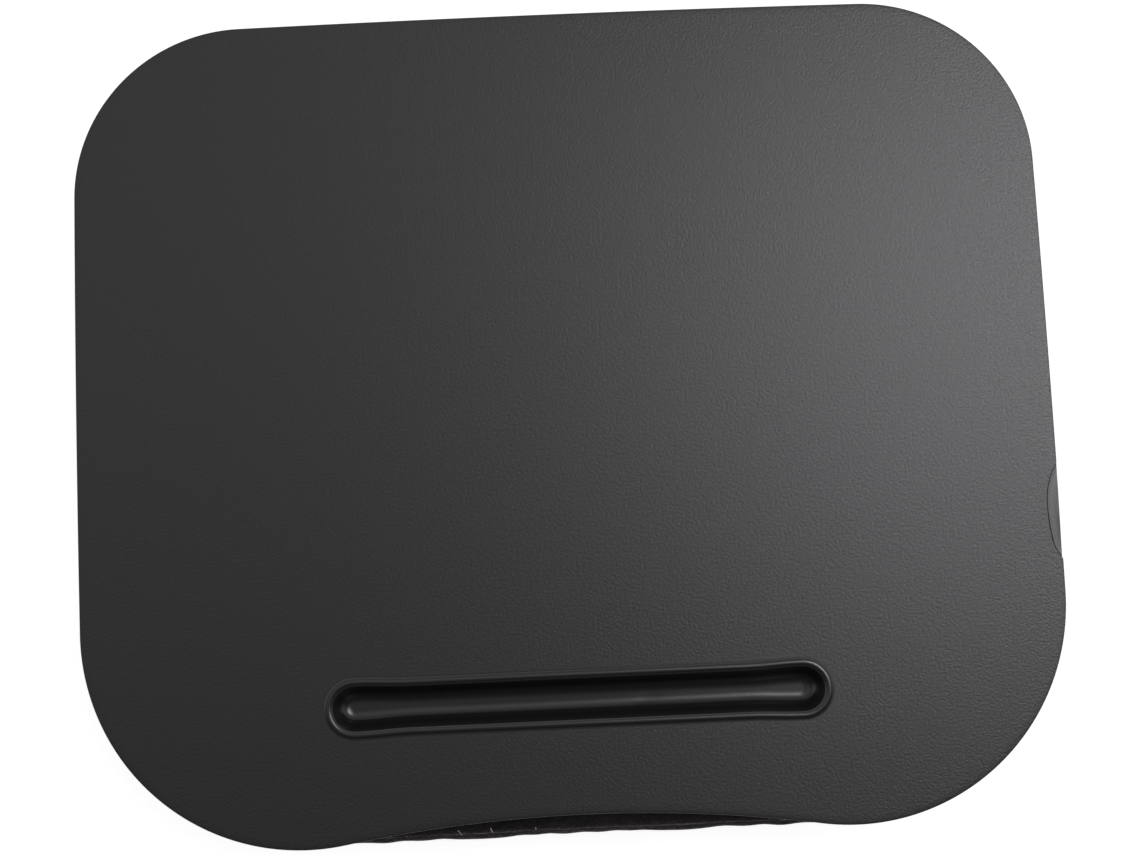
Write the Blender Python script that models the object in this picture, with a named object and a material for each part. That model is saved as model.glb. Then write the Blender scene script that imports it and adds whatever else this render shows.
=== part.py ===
"""A lap desk: a flat moulded tray with a pen groove, on a bead-filled fabric cushion.

Metres, +Z up, +X to the right and +Y away from the person who uses it. The origin is on the surface
that the cushion rests on, under the middle of the tray. The cushion is built up from the floor, and
each piece above it takes its height from the piece below.
"""

import math

import bmesh
import bpy
from mathutils import Vector

# Fits between pieces
SEAT_GAP = 0.0003  # between two faces that touch
FREE_GAP = 0.0010  # round a piece that drops into another
JOIN_OVERLAP = 0.0006  # how far a rib or boss is rooted in the wall that carries it
CUT_OVERRUN = 0.0040  # how far a cutter runs past what it cuts

# Tray, as seen from above
TRAY_WIDTH = 0.3800
TRAY_DEPTH = 0.3231
BACK_CORNER_RADIUS = 0.0670
FRONT_CORNER_RADIUS = 0.0855
SCOOP_DEPTH = 0.0086  # how far the front edge curves in towards the user's waist
BACK_CROWN = 0.0008  # how far the back edge bows out
SIDE_CROWN = 0.00035

# Tray, in section
TRAY_WALL = 0.0022
RIM_WALL = 0.0022
TRAY_EDGE_RADIUS = 0.0014
RIM_CLEARANCE = 0.0008  # daylight between the rim and the top of the cushion

# Pen groove
GROOVE_LENGTH = 0.1876
GROOVE_WIDTH = 0.0152
GROOVE_DEPTH = 0.0090
GROOVE_FROM_FRONT = 0.0518  # groove's centre line to the front of the tray
GROOVE_FLOOR_RADIUS = 0.0066
GROOVE_END_FLARE = 0.0007  # how much the ends swell past the straight part
GROOVE_FLARE_LENGTH = 0.0220
BEAD_HEIGHT = 0.0007
BEAD_WIDTH = 0.0032
BEAD_LIP_RADIUS = 0.0015  # roll from the bead's crest down into the groove

# Thumb nick pressed in the right-hand edge
NICK_LENGTH = 0.0272
NICK_WIDTH = 0.0046
NICK_DEPTH = 0.0010
NICK_FROM_MIDDLE = 0.0487  # towards the front

# Ribs and screw bosses under the tray
RIB_HEIGHT = 0.0060
RIB_THICKNESS = 0.0018
RIB_END_SPACE = 0.0240  # from the end of a rib to the edge of the tray
RIB_ACROSS_SHARES = (-0.22, 0.16, 0.54)
RIB_ALONG_SHARES = (-0.62, -0.22, 0.22, 0.62)
BOSS_DIAMETER = 0.0080
BOSS_INSET = 0.0240
BOSS_CORNER_SHARE = 0.62  # how far out along each corner's diagonal a boss stands
PILOT_DEPTH = 0.0050

# Screws
SHANK_DIAMETER = 0.0030
HEAD_DIAMETER = 0.0070
HEAD_HEIGHT = 0.0018
SHANK_END_SPACE = 0.0008  # left under the blind end of the pilot hole
POINT_LENGTH = 0.0012

# Support board
BOARD_THICKNESS = 0.0030

# Hook and loop strips
STRIP_THICKNESS = 0.0012
STRIP_WIDTH = 0.0200
STRIP_LENGTH = 0.1300
STRIP_CORNER_RADIUS = 0.0030
SIDE_STRIP_INSET = 0.0580  # from the side of the tray to the strip's centre line
BACK_STRIP_INSET = 0.0560
FRONT_STRIP_SPACE = 0.0160  # from the pen groove to the strip's centre line

# Cushion
CUSHION_HEIGHT = 0.0472
CUSHION_SIDE_INSET = 0.0020  # from the side of the tray in to the cushion's widest line
CUSHION_END_BULGE = 0.00285  # how far that line stands out past the tray's front and back
CUSHION_WIDTH = TRAY_WIDTH - 2 * CUSHION_SIDE_INSET
CUSHION_DEPTH = TRAY_DEPTH + 2 * CUSHION_END_BULGE
CUSHION_BACK_RADIUS = 0.0660
CUSHION_FRONT_RADIUS = 0.0840
FABRIC = 0.0012
SEAM_DRAW_IN = 0.0034  # how far the seams pull in from the cushion's widest line
UPPER_SEAM_DROP = 0.0052  # top of the cushion down to the upper seam
LOWER_SEAM_RISE = 0.0094  # floor up to the lower seam
TOP_ROLL_WIDTH = 0.0120  # how far in the top panel starts to roll down to its seam
BASE_ROLL_WIDTH = 0.0300

# Zip in the back of the side band
ZIP_SPAN_SHARE = 0.78  # of the straight part of the cushion's back
TOOTH_PITCH = 0.0030
TOOTH_REACH = 0.0018
TOOTH_THICKNESS = 0.0018
SPINE_WIDTH = 0.0014
TAPE_THICKNESS = 0.0006
TAPE_HALF_HEIGHT = 0.0090
ZIP_WINDOW_HALF_HEIGHT = 0.0060
STOP_LENGTH = 0.0024
SLIDER_LENGTH = 0.0092
SLIDER_WALL = 0.0010
SLIDER_NOSE_SHARE = 0.80  # how wide the slider's narrow end is, of its wide end
LUG_LENGTH = 0.0046
LUG_WIDTH = 0.0014
LUG_HEIGHT = 0.0014
LUG_EYE_SHARE = 0.46

# Points round each plan: half the back, a back corner, a side, a front corner, half the front
TRAY_POINTS = (3, 12, 3, 14, 6)
CUSHION_POINTS = (3, 9, 3, 10, 3)
GROOVE_BACK_SHARES = (0.0, 0.25, 0.50, 0.68, 0.77, 0.83, 0.88, 0.93, 0.97)
GROOVE_FRONT_SHARES = (1.0, 0.97, 0.93, 0.88, 0.83, 0.77, 0.68, 0.56, 0.42, 0.28, 0.14)
GROOVE_END_POINTS = 18

# Facets up each curved section
FLOOR_STEPS = 5
BEAD_STEPS = 3
EDGE_STEPS = 3
BAND_STEPS = 6
TOP_ROLL_STEPS = 3
BASE_ROLL_STEPS = 5
BAG_SIDE_SHARES = (0.7, 0.35, 0.0, -0.35, -0.7)
STRIP_CORNER_STEPS = 3
SCREW_SIDES = 12
BOSS_SIDES = 16
NICK_SEGMENTS = 24
CRISP_ANGLE = math.radians(35)

# Heights, from the floor up
LOOP_Z = CUSHION_HEIGHT + SEAT_GAP
HOOK_Z = LOOP_Z + STRIP_THICKNESS + SEAT_GAP
BOARD_Z = HOOK_Z + STRIP_THICKNESS + SEAT_GAP
BOARD_TOP_Z = BOARD_Z + BOARD_THICKNESS
RIB_Z = BOARD_TOP_Z + SEAT_GAP
UNDERSIDE_Z = RIB_Z + RIB_HEIGHT
TOP_Z = UNDERSIDE_Z + TRAY_WALL
RIM_Z = CUSHION_HEIGHT + RIM_CLEARANCE

# Places that several pieces share
GROOVE_Y = GROOVE_FROM_FRONT - TRAY_DEPTH / 2
GROOVE_HALF_WIDTH = GROOVE_WIDTH / 2
GROOVE_END_X = GROOVE_LENGTH / 2 - GROOVE_HALF_WIDTH - GROOVE_END_FLARE
PILOT_RADIUS = SHANK_DIAMETER / 2 + SEAT_GAP
BAND_LOW_Z = LOWER_SEAM_RISE + SEAT_GAP
BAND_HIGH_Z = CUSHION_HEIGHT - UPPER_SEAM_DROP - SEAT_GAP
BAND_MID_Z = (BAND_LOW_Z + BAND_HIGH_Z) / 2
BAND_HALF_HEIGHT = (BAND_HIGH_Z - BAND_LOW_Z) / 2
SLIDER_THROAT = TOOTH_REACH + 2 * SPINE_WIDTH + 4 * SEAT_GAP


def material(name, colour, roughness, metallic=0.0):
    """A plain finish, with the colour as linear red, green and blue."""
    made = bpy.data.materials.new(name)
    made.use_nodes = True
    shader = made.node_tree.nodes["Principled BSDF"]
    shader.inputs["Base Color"].default_value = (*colour, 1.0)
    shader.inputs["Roughness"].default_value = roughness
    shader.inputs["Metallic"].default_value = metallic
    made.diffuse_color = (*colour, 1.0)
    return made


def shade(mesh):
    """Smooth shading that keeps the edges crisp."""
    mesh.shade_smooth()
    mesh.set_sharp_from_angle(angle=CRISP_ANGLE)


def new_object(name, mesh, finish):
    """Puts a mesh in the scene under its own name, with its finish and smooth shading."""
    mesh.materials.append(finish)
    shade(mesh)
    made = bpy.data.objects.new(name, mesh)
    bpy.context.scene.collection.objects.link(made)
    return made


def loft(name, rings, finish, joined_ends=False):
    """A closed skin through rings of equal count. Its two ends are filled, or joined to each other."""
    shape = bmesh.new()
    loops = [[shape.verts.new(point) for point in ring] for ring in rings]
    count = len(loops[0])
    pairs = list(zip(loops, loops[1:]))
    if joined_ends:
        pairs.append((loops[-1], loops[0]))
    else:
        shape.faces.new(loops[0])
        shape.faces.new(loops[-1])
    for first, second in pairs:
        for i in range(count):
            j = (i + 1) % count
            shape.faces.new((first[i], first[j], second[j], second[i]))
    bmesh.ops.recalc_face_normals(shape, faces=shape.faces)
    mesh = bpy.data.meshes.new(name)
    shape.to_mesh(mesh)
    shape.free()
    return new_object(name, mesh, finish)


def circle(radius, z, centre=(0, 0), sides=SCREW_SIDES):
    """A level ring of points."""
    angles = [2 * math.pi * i / sides for i in range(sides)]
    return [(centre[0] + radius * math.cos(a), centre[1] + radius * math.sin(a), z) for a in angles]


def block(name, low, high, finish):
    """A rectangular block between two opposite corners."""
    bpy.ops.mesh.primitive_cube_add(size=1)
    made = bpy.context.object
    made.name = name
    made.data.name = name
    low, high = Vector(low), Vector(high)
    size = high - low
    for vertex in made.data.vertices:
        vertex.co = Vector(c * s for c, s in zip(vertex.co, size)) + (low + high) / 2
    made.data.materials.append(finish)
    return made


def combine(target, tool, operation):
    """Joins a tool to the target, or cuts it away, and leaves only the target."""
    change = target.modifiers.new(operation.title(), "BOOLEAN")
    change.operation = operation
    change.object = tool
    bpy.context.view_layer.objects.active = target
    bpy.ops.object.modifier_apply(modifier=change.name)
    bpy.data.objects.remove(tool)
    shade(target.data)


def arc(centre, radius, start, end, count):
    """Points along an arc, without its last one."""
    angles = [start + (end - start) * i / count for i in range(count)]
    return [(centre[0] + radius * math.cos(a), centre[1] + radius * math.sin(a)) for a in angles]


def right_half(width, depth, back_radius, front_radius, scoop, crowns, inset, counts):
    """The right half of a plan from the middle of the back to the middle of the front.

    Both corners are arcs. The scoop is one long arc that meets the front corners without a kink, and
    its radius follows from that. Drawing the plan in by an inset keeps every arc's centre.
    """
    back_crown, side_crown = crowns
    back_y = depth / 2 - back_crown
    back_centre = (width / 2 - back_radius, back_y - back_radius)
    front_centre = (width / 2 - front_radius, front_radius - depth / 2)
    back, back_corner, side, front_corner, front = counts
    points = []
    for i in range(back):
        share = i / back
        bow = back_crown * (1 - share * share)
        points.append((share * back_centre[0], back_y + bow - inset))
    points += arc(back_centre, back_radius - inset, math.pi / 2, 0, back_corner)
    for i in range(side):
        share = i / side
        y = back_centre[1] + (front_centre[1] - back_centre[1]) * share
        points.append((width / 2 + side_crown * 4 * share * (1 - share) - inset, y))
    if scoop:
        drop = front_radius - scoop
        reach = front_centre[0] ** 2 + drop**2 - front_radius**2
        scoop_radius = reach / (2 * (front_radius - drop))
        scoop_centre = (0, scoop - depth / 2 - scoop_radius)
        turn = math.atan2(scoop_centre[1] - front_centre[1], scoop_centre[0] - front_centre[0])
        points += arc(front_centre, front_radius - inset, 0, turn, front_corner)
        points += arc(scoop_centre, scoop_radius + inset, turn + math.pi, math.pi / 2, front)
        points.append((0, scoop_centre[1] + scoop_radius + inset))
    else:
        points += arc(front_centre, front_radius - inset, 0, -math.pi / 2, front_corner)
        for i in range(front + 1):
            points.append((front_centre[0] * (1 - i / front), inset - depth / 2))
    return points


def both_halves(right, z):
    """The whole ring at a height, from its right half."""
    left = [(-x, y) for x, y in right[-2:0:-1]]
    return [(x, y, z) for x, y in right + left]


def tray_ring(inset, z):
    """The tray's outline at a height, drawn in by an inset."""
    crowns = (BACK_CROWN, SIDE_CROWN)
    return both_halves(
        right_half(
            TRAY_WIDTH,
            TRAY_DEPTH,
            BACK_CORNER_RADIUS,
            FRONT_CORNER_RADIUS,
            SCOOP_DEPTH,
            crowns,
            inset,
            TRAY_POINTS,
        ),
        z,
    )


def cushion_ring(inset, z):
    """The cushion's outline at a height, drawn in by an inset."""
    return both_halves(
        right_half(
            CUSHION_WIDTH,
            CUSHION_DEPTH,
            CUSHION_BACK_RADIUS,
            CUSHION_FRONT_RADIUS,
            0,
            (0, 0),
            inset,
            CUSHION_POINTS,
        ),
        z,
    )


def groove_ring(offset, z):
    """The pen groove's outline at a height, grown by an offset from its mouth.

    It has as many points as the tray's outline, so that the two can be joined ring to ring.
    """

    def half_width(x):
        share = max(0.0, (x - GROOVE_END_X) / GROOVE_FLARE_LENGTH + 1)
        return GROOVE_HALF_WIDTH + offset + GROOVE_END_FLARE * share * share * (3 - 2 * share)

    right = []
    for share in GROOVE_BACK_SHARES:
        x = share * GROOVE_END_X
        right.append((x, GROOVE_Y + half_width(x)))
    end_radius = half_width(GROOVE_END_X)
    end_centre = (GROOVE_END_X, GROOVE_Y)
    right += arc(end_centre, end_radius, math.pi / 2, -math.pi / 2, GROOVE_END_POINTS)
    for share in GROOVE_FRONT_SHARES:
        x = share * GROOVE_END_X
        right.append((x, GROOVE_Y - half_width(x)))
    right.append((0, GROOVE_Y - half_width(0)))
    return both_halves(right, z)


def groove_floor(wall):
    """Rings up the groove's rounded floor and side, or up its outside when a wall is given."""
    radius = GROOVE_FLOOR_RADIUS + wall
    rings = []
    for i in range(FLOOR_STEPS + 1):
        angle = math.pi / 2 * i / FLOOR_STEPS
        offset = radius * math.sin(angle) - GROOVE_FLOOR_RADIUS
        rise = GROOVE_FLOOR_RADIUS - radius * math.cos(angle)
        rings.append(groove_ring(offset, TOP_Z - GROOVE_DEPTH + rise))
    return rings


def bead_rings():
    """Rings from the groove's side over the raised bead to the flat of the tray."""
    rings = []
    lip_z = TOP_Z + BEAD_HEIGHT - BEAD_LIP_RADIUS
    for i in range(BEAD_STEPS):
        angle = math.pi / 2 * i / BEAD_STEPS
        offset = BEAD_LIP_RADIUS * (1 - math.cos(angle))
        rings.append(groove_ring(offset, lip_z + BEAD_LIP_RADIUS * math.sin(angle)))
    slope = BEAD_WIDTH - BEAD_LIP_RADIUS
    for i in range(BEAD_STEPS + 1):
        share = i / BEAD_STEPS
        height = BEAD_HEIGHT * (1 + math.cos(math.pi * share)) / 2
        rings.append(groove_ring(BEAD_LIP_RADIUS + slope * share, TOP_Z + height))
    return rings


def edge_rings():
    """Rings round the tray's outer edge, from its flat top down to the foot of its rim."""
    rings = []
    for i in range(EDGE_STEPS + 1):
        angle = math.pi / 2 * i / EDGE_STEPS
        inset = TRAY_EDGE_RADIUS * (1 - math.sin(angle))
        rings.append(tray_ring(inset, TOP_Z - TRAY_EDGE_RADIUS * (1 - math.cos(angle))))
    rings.append(tray_ring(0, RIM_Z))
    rings.append(tray_ring(RIM_WALL, RIM_Z))
    rings.append(tray_ring(RIM_WALL, UNDERSIDE_Z))
    return rings


def boss_places():
    """Centres of the screws: one in each corner and one behind the middle of each edge."""
    places = []
    reach = BOSS_CORNER_SHARE / math.sqrt(2)
    for side in (-1, 1):
        for way, radius in ((1, BACK_CORNER_RADIUS), (-1, FRONT_CORNER_RADIUS)):
            x = TRAY_WIDTH / 2 - radius * (1 - reach)
            y = TRAY_DEPTH / 2 - radius * (1 - reach)
            places.append((side * x, way * y))
        places.append((side * (TRAY_WIDTH / 2 - BOSS_INSET), 0))
    places.append((0, TRAY_DEPTH / 2 - BOSS_INSET))
    front_gap = TRAY_DEPTH / 2 - SCOOP_DEPTH - RIM_WALL + GROOVE_Y - GROOVE_HALF_WIDTH - TRAY_WALL
    places.append((0, SCOOP_DEPTH + RIM_WALL + front_gap / 2 - TRAY_DEPTH / 2))
    return places


def add_ribs(tray, finish):
    """Stiffening ribs that cross under the flat of the tray, behind the groove."""
    half_rib = RIB_THICKNESS / 2
    root_z = UNDERSIDE_Z + JOIN_OVERLAP
    far_x = TRAY_WIDTH / 2 - RIB_END_SPACE - BOSS_DIAMETER
    back_y = TRAY_DEPTH / 2 - RIB_END_SPACE - BOSS_DIAMETER
    front_y = GROOVE_Y + GROOVE_HALF_WIDTH + GROOVE_END_FLARE + TRAY_WALL + BEAD_WIDTH
    for share in RIB_ACROSS_SHARES:
        y = share * TRAY_DEPTH / 2
        low = (-far_x, y - half_rib, RIB_Z)
        high = (far_x, y + half_rib, root_z)
        combine(tray, block("rib", low, high, finish), "UNION")
    for share in RIB_ALONG_SHARES:
        x = share * TRAY_WIDTH / 2
        low = (x - half_rib, front_y, RIB_Z)
        high = (x + half_rib, back_y, root_z)
        combine(tray, block("rib", low, high, finish), "UNION")


def add_bosses(tray, finish):
    """Blind bosses that take the screws."""
    for centre in boss_places():
        rings = [
            circle(PILOT_RADIUS, RIB_Z + PILOT_DEPTH, centre, BOSS_SIDES),
            circle(PILOT_RADIUS, RIB_Z, centre, BOSS_SIDES),
            circle(BOSS_DIAMETER / 2, RIB_Z, centre, BOSS_SIDES),
            circle(BOSS_DIAMETER / 2, UNDERSIDE_Z + JOIN_OVERLAP, centre, BOSS_SIDES),
        ]
        combine(tray, loft("boss", rings, finish), "UNION")


def press_nick(tray):
    """A shallow lens pressed into the top of the right-hand edge."""
    bpy.ops.mesh.primitive_uv_sphere_add(segments=NICK_SEGMENTS, ring_count=NICK_SEGMENTS // 2, radius=1)
    nick = bpy.context.object
    size = (NICK_WIDTH, NICK_LENGTH / 2, NICK_DEPTH)
    centre = Vector((TRAY_WIDTH / 2, -NICK_FROM_MIDDLE, TOP_Z))
    for vertex in nick.data.vertices:
        vertex.co = Vector(c * s for c, s in zip(vertex.co, size)) + centre
    combine(tray, nick, "DIFFERENCE")


def make_tray(finish):
    """The moulded top: one skin from the floor of the groove round the rim to the groove's outside."""
    rings = groove_floor(0) + bead_rings() + edge_rings()
    outside = groove_floor(TRAY_WALL)
    outside.append(groove_ring(TRAY_WALL, UNDERSIDE_Z))
    tray = loft("top_tray", rings + outside[::-1], finish)
    add_ribs(tray, finish)
    add_bosses(tray, finish)
    press_nick(tray)
    return tray


def make_board(finish):
    """The hardboard that closes the tray, with a slot that the groove passes through."""
    inset = RIM_WALL + FREE_GAP
    slot = TRAY_WALL + FREE_GAP
    rings = [
        tray_ring(inset, BOARD_Z),
        tray_ring(inset, BOARD_TOP_Z),
        groove_ring(slot, BOARD_TOP_Z),
        groove_ring(slot, BOARD_Z),
    ]
    board = loft("support_board", rings, finish, joined_ends=True)
    radius = SHANK_DIAMETER / 2 + SEAT_GAP
    for centre in boss_places():
        low = circle(radius, BOARD_Z - CUT_OVERRUN, centre)
        high = circle(radius, BOARD_TOP_Z + CUT_OVERRUN, centre)
        combine(board, loft("hole", [low, high], finish), "DIFFERENCE")
    return board


def make_screws(finish):
    """Pan-head screws up through the board into the bosses."""
    seat_z = BOARD_Z - SEAT_GAP
    tip_z = RIB_Z + PILOT_DEPTH - SHANK_END_SPACE
    shank = SHANK_DIAMETER / 2
    head = HEAD_DIAMETER / 2
    for number, centre in enumerate(boss_places(), 1):
        rings = [
            circle(shank / 2, tip_z, centre),
            circle(shank, tip_z - POINT_LENGTH, centre),
            circle(shank, seat_z, centre),
            circle(head, seat_z, centre),
            circle(head, seat_z - HEAD_HEIGHT / 2, centre),
            circle(head * math.sqrt(3) / 2, seat_z - HEAD_HEIGHT * 3 / 4, centre),
            circle(head / 2, seat_z - HEAD_HEIGHT, centre),
        ]
        loft(f"board_screw_{number}", rings, finish)


def strip(name, centre, size, z, finish):
    """A flat strip with rounded corners."""
    reach_x = size[0] / 2 - STRIP_CORNER_RADIUS
    reach_y = size[1] / 2 - STRIP_CORNER_RADIUS
    step = math.pi / 2 / STRIP_CORNER_STEPS
    outline = []
    for turn, (sx, sy) in enumerate(((1, 1), (-1, 1), (-1, -1), (1, -1))):
        corner = (centre[0] + sx * reach_x, centre[1] + sy * reach_y)
        start = turn * math.pi / 2
        end = start + math.pi / 2 + step
        outline += arc(corner, STRIP_CORNER_RADIUS, start, end, STRIP_CORNER_STEPS + 1)
    rings = [[(x, y, z + level) for x, y in outline] for level in (0, STRIP_THICKNESS)]
    loft(name, rings, finish)


def make_strips(finish):
    """Hook strips under the board and loop strips on the cushion, face to face."""
    side_x = TRAY_WIDTH / 2 - SIDE_STRIP_INSET
    back_y = TRAY_DEPTH / 2 - BACK_STRIP_INSET
    front_y = GROOVE_Y + GROOVE_HALF_WIDTH + TRAY_WALL + FRONT_STRIP_SPACE
    places = {
        "left": ((-side_x, 0), (STRIP_WIDTH, STRIP_LENGTH)),
        "right": ((side_x, 0), (STRIP_WIDTH, STRIP_LENGTH)),
        "back": ((0, back_y), (STRIP_LENGTH, STRIP_WIDTH)),
        "front": ((0, front_y), (STRIP_LENGTH, STRIP_WIDTH)),
    }
    for where, (centre, size) in places.items():
        strip(f"loop_strip_{where}", centre, size, LOOP_Z, finish)
        strip(f"hook_strip_{where}", centre, size, HOOK_Z, finish)


def band_inset(z):
    """How far the side band's outer face lies inside the cushion's widest line at a height."""
    share = (z - BAND_MID_Z) / BAND_HALF_HEIGHT
    return SEAM_DRAW_IN * share * share


def roll(width, height, inner, steps):
    """Insets and heights down a rolled edge, from the flat at zero height to the seam."""
    points = []
    for i in range(steps + 1):
        angle = math.pi / 2 * i / steps
        points.append((inner + width * (1 - math.sin(angle)), height * (1 - math.cos(angle))))
    return points


def panel(name, face_z, inward, edge_drop, roll_width, steps, fabric):
    """A cushion panel, flat in the middle, that rolls over to its seam. Inward is 1 up or -1 down."""
    outer = roll(roll_width, edge_drop, SEAM_DRAW_IN, steps)
    inner = roll(roll_width, edge_drop - FABRIC, SEAM_DRAW_IN + FABRIC, steps)
    outside = [cushion_ring(inset, face_z + inward * fall) for inset, fall in outer]
    inside = [cushion_ring(inset, face_z + inward * (FABRIC + fall)) for inset, fall in inner]
    loft(name, outside + inside[::-1], fabric)


def make_band(fabric):
    """The side band, which bulges between its seams and has a window for the zip at the back."""
    step = 2 * BAND_HALF_HEIGHT / BAND_STEPS
    heights = [BAND_LOW_Z + step * i for i in range(BAND_STEPS + 1)]
    outside = [cushion_ring(band_inset(z), z) for z in heights]
    inside = [cushion_ring(band_inset(z) + FABRIC, z) for z in heights[::-1]]
    band = loft("cushion_side_band", outside + inside, fabric, joined_ends=True)
    half_x = zip_end() + SEAT_GAP
    low = (-half_x, CUSHION_DEPTH / 2 - CUT_OVERRUN, BAND_MID_Z - ZIP_WINDOW_HALF_HEIGHT)
    high = (half_x, CUSHION_DEPTH / 2 + CUT_OVERRUN, BAND_MID_Z + ZIP_WINDOW_HALF_HEIGHT)
    combine(band, block("window", low, high, fabric), "DIFFERENCE")


def make_bead_bag(finish):
    """The inner bag of beads, which fills the cover with a shallow seat behind the zip."""
    skin = FABRIC + SEAT_GAP
    seam = SEAM_DRAW_IN + skin + FABRIC
    top = roll(TOP_ROLL_WIDTH, UPPER_SEAM_DROP, seam, TOP_ROLL_STEPS - 1)
    base = roll(BASE_ROLL_WIDTH, LOWER_SEAM_RISE, seam, BASE_ROLL_STEPS - 1)
    rings = [cushion_ring(inset, CUSHION_HEIGHT - skin - fall) for inset, fall in top]
    for share in BAG_SIDE_SHARES:
        z = BAND_MID_Z + share * BAND_HALF_HEIGHT
        rings.append(cushion_ring(band_inset(z) + skin, z))
    rings += [cushion_ring(inset, skin + rise) for inset, rise in base[::-1]]
    bag = loft("bead_bag", rings, finish)
    half_x = zip_end() + SEAT_GAP
    half_z = TAPE_HALF_HEIGHT + SEAT_GAP
    low = (-half_x, tape_y() - TAPE_THICKNESS - SEAT_GAP, BAND_MID_Z - half_z)
    high = (half_x, CUSHION_DEPTH / 2 + CUT_OVERRUN, BAND_MID_Z + half_z)
    combine(bag, block("zip_seat", low, high, finish), "DIFFERENCE")


def zip_half_length():
    """Half the row of teeth, a whole number of teeth within the straight part of the back."""
    straight = CUSHION_WIDTH - 2 * CUSHION_BACK_RADIUS
    return math.floor(straight * ZIP_SPAN_SHARE / TOOTH_PITCH / 2) * TOOTH_PITCH


def zip_end():
    """How far the zip's tapes and stops reach from the middle."""
    return zip_half_length() + TOOTH_PITCH / 2 + SEAT_GAP + STOP_LENGTH


def tape_y():
    """The outer face of the zip's tapes, which lie against the inside of the bulging band."""
    return CUSHION_DEPTH / 2 - band_inset(BAND_MID_Z + TAPE_HALF_HEIGHT) - FABRIC - SEAT_GAP


def comb(name, way, finish):
    """One row of zip teeth on its spine. The two rows are half a pitch apart and interlock."""
    half = zip_half_length()
    root = TOOTH_REACH / 2 + SEAT_GAP
    tooth = TOOTH_PITCH / 2 - SEAT_GAP
    outline = []
    count = round(2 * half / TOOTH_PITCH)
    for i in range(count):
        start = -half + i * TOOTH_PITCH + (TOOTH_PITCH / 2 if way < 0 else 0)
        outline.append((start, root))
        outline.append((start, -TOOTH_REACH / 2))
        outline.append((start + tooth, -TOOTH_REACH / 2))
        outline.append((start + tooth, root))
    outline.append((outline[-1][0], root + SPINE_WIDTH))
    outline.append((outline[0][0], root + SPINE_WIDTH))
    back_y = tape_y() + SEAT_GAP
    rings = [
        [(x, back_y + level, BAND_MID_Z + way * z) for x, z in outline]
        for level in (0, TOOTH_THICKNESS)
    ]
    loft(name, rings, finish)


def make_zip(tape, teeth, metal):
    """Two tapes, two rows of teeth and a stop at each end."""
    face = tape_y()
    end = zip_end()
    inner = SEAT_GAP / 2
    for where, way in (("upper", 1), ("lower", -1)):
        edges = sorted((BAND_MID_Z + way * inner, BAND_MID_Z + way * TAPE_HALF_HEIGHT))
        low = (-end, face - TAPE_THICKNESS, edges[0])
        high = (end, face, edges[1])
        block(f"zip_tape_{where}", low, high, tape)
        comb(f"zip_teeth_{where}", way, teeth)
    half_z = SLIDER_THROAT / 2 + SLIDER_WALL
    for where, way in (("left", -1), ("right", 1)):
        edges = sorted((way * (end - STOP_LENGTH), way * end))
        low = (edges[0], face + SEAT_GAP, BAND_MID_Z - half_z)
        high = (edges[1], face + SEAT_GAP + TOOTH_THICKNESS, BAND_MID_Z + half_z)
        block(f"zip_stop_{where}", low, high, metal)


def make_slider(metal):
    """The zip's slider, a tapered cap over the teeth with a slotted lug, at rest by the right-hand stop.

    It has no pull tab, as on a cushion that children mustn't open. Its origin is on the line that it
    slides along, at its middle.
    """
    face = tape_y()
    inside_z = SLIDER_THROAT / 2
    inside_y = face + TOOTH_THICKNESS + 2 * SEAT_GAP
    outside_z = inside_z + SLIDER_WALL
    outside_y = inside_y + SLIDER_WALL
    foot_y = face + SEAT_GAP
    start_x = zip_end() - STOP_LENGTH - SEAT_GAP - SLIDER_LENGTH / 2
    rings = []
    for share, scale in ((-0.5, 1), (-0.2, 1), (0.2, SLIDER_NOSE_SHARE), (0.5, SLIDER_NOSE_SHARE)):
        wide = inside_z + SLIDER_WALL * scale
        x = share * SLIDER_LENGTH
        section = [
            (foot_y, wide),
            (foot_y, inside_z),
            (inside_y, inside_z),
            (inside_y, -inside_z),
            (foot_y, -inside_z),
            (foot_y, -wide),
            (outside_y - SLIDER_WALL / 2, -wide),
            (outside_y, -inside_z),
            (outside_y, inside_z),
            (outside_y - SLIDER_WALL / 2, wide),
        ]
        rings.append([(x, y, z) for y, z in section])
    slider = loft("zip_slider", rings, metal)
    root = outside_y - JOIN_OVERLAP
    low = (-LUG_LENGTH / 2, root, -LUG_WIDTH / 2)
    high = (LUG_LENGTH / 2, outside_y + LUG_HEIGHT, LUG_WIDTH / 2)
    lug = block("lug", low, high, metal)
    eye = LUG_EYE_SHARE * LUG_LENGTH / 2
    eye_low = (-eye, outside_y + LUG_HEIGHT / 6, -outside_z)
    eye_high = (eye, outside_y + LUG_HEIGHT * 2 / 3, outside_z)
    combine(lug, block("eye", eye_low, eye_high, metal), "DIFFERENCE")
    combine(slider, lug, "UNION")
    slider.location = (start_x, 0, BAND_MID_Z)


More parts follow.
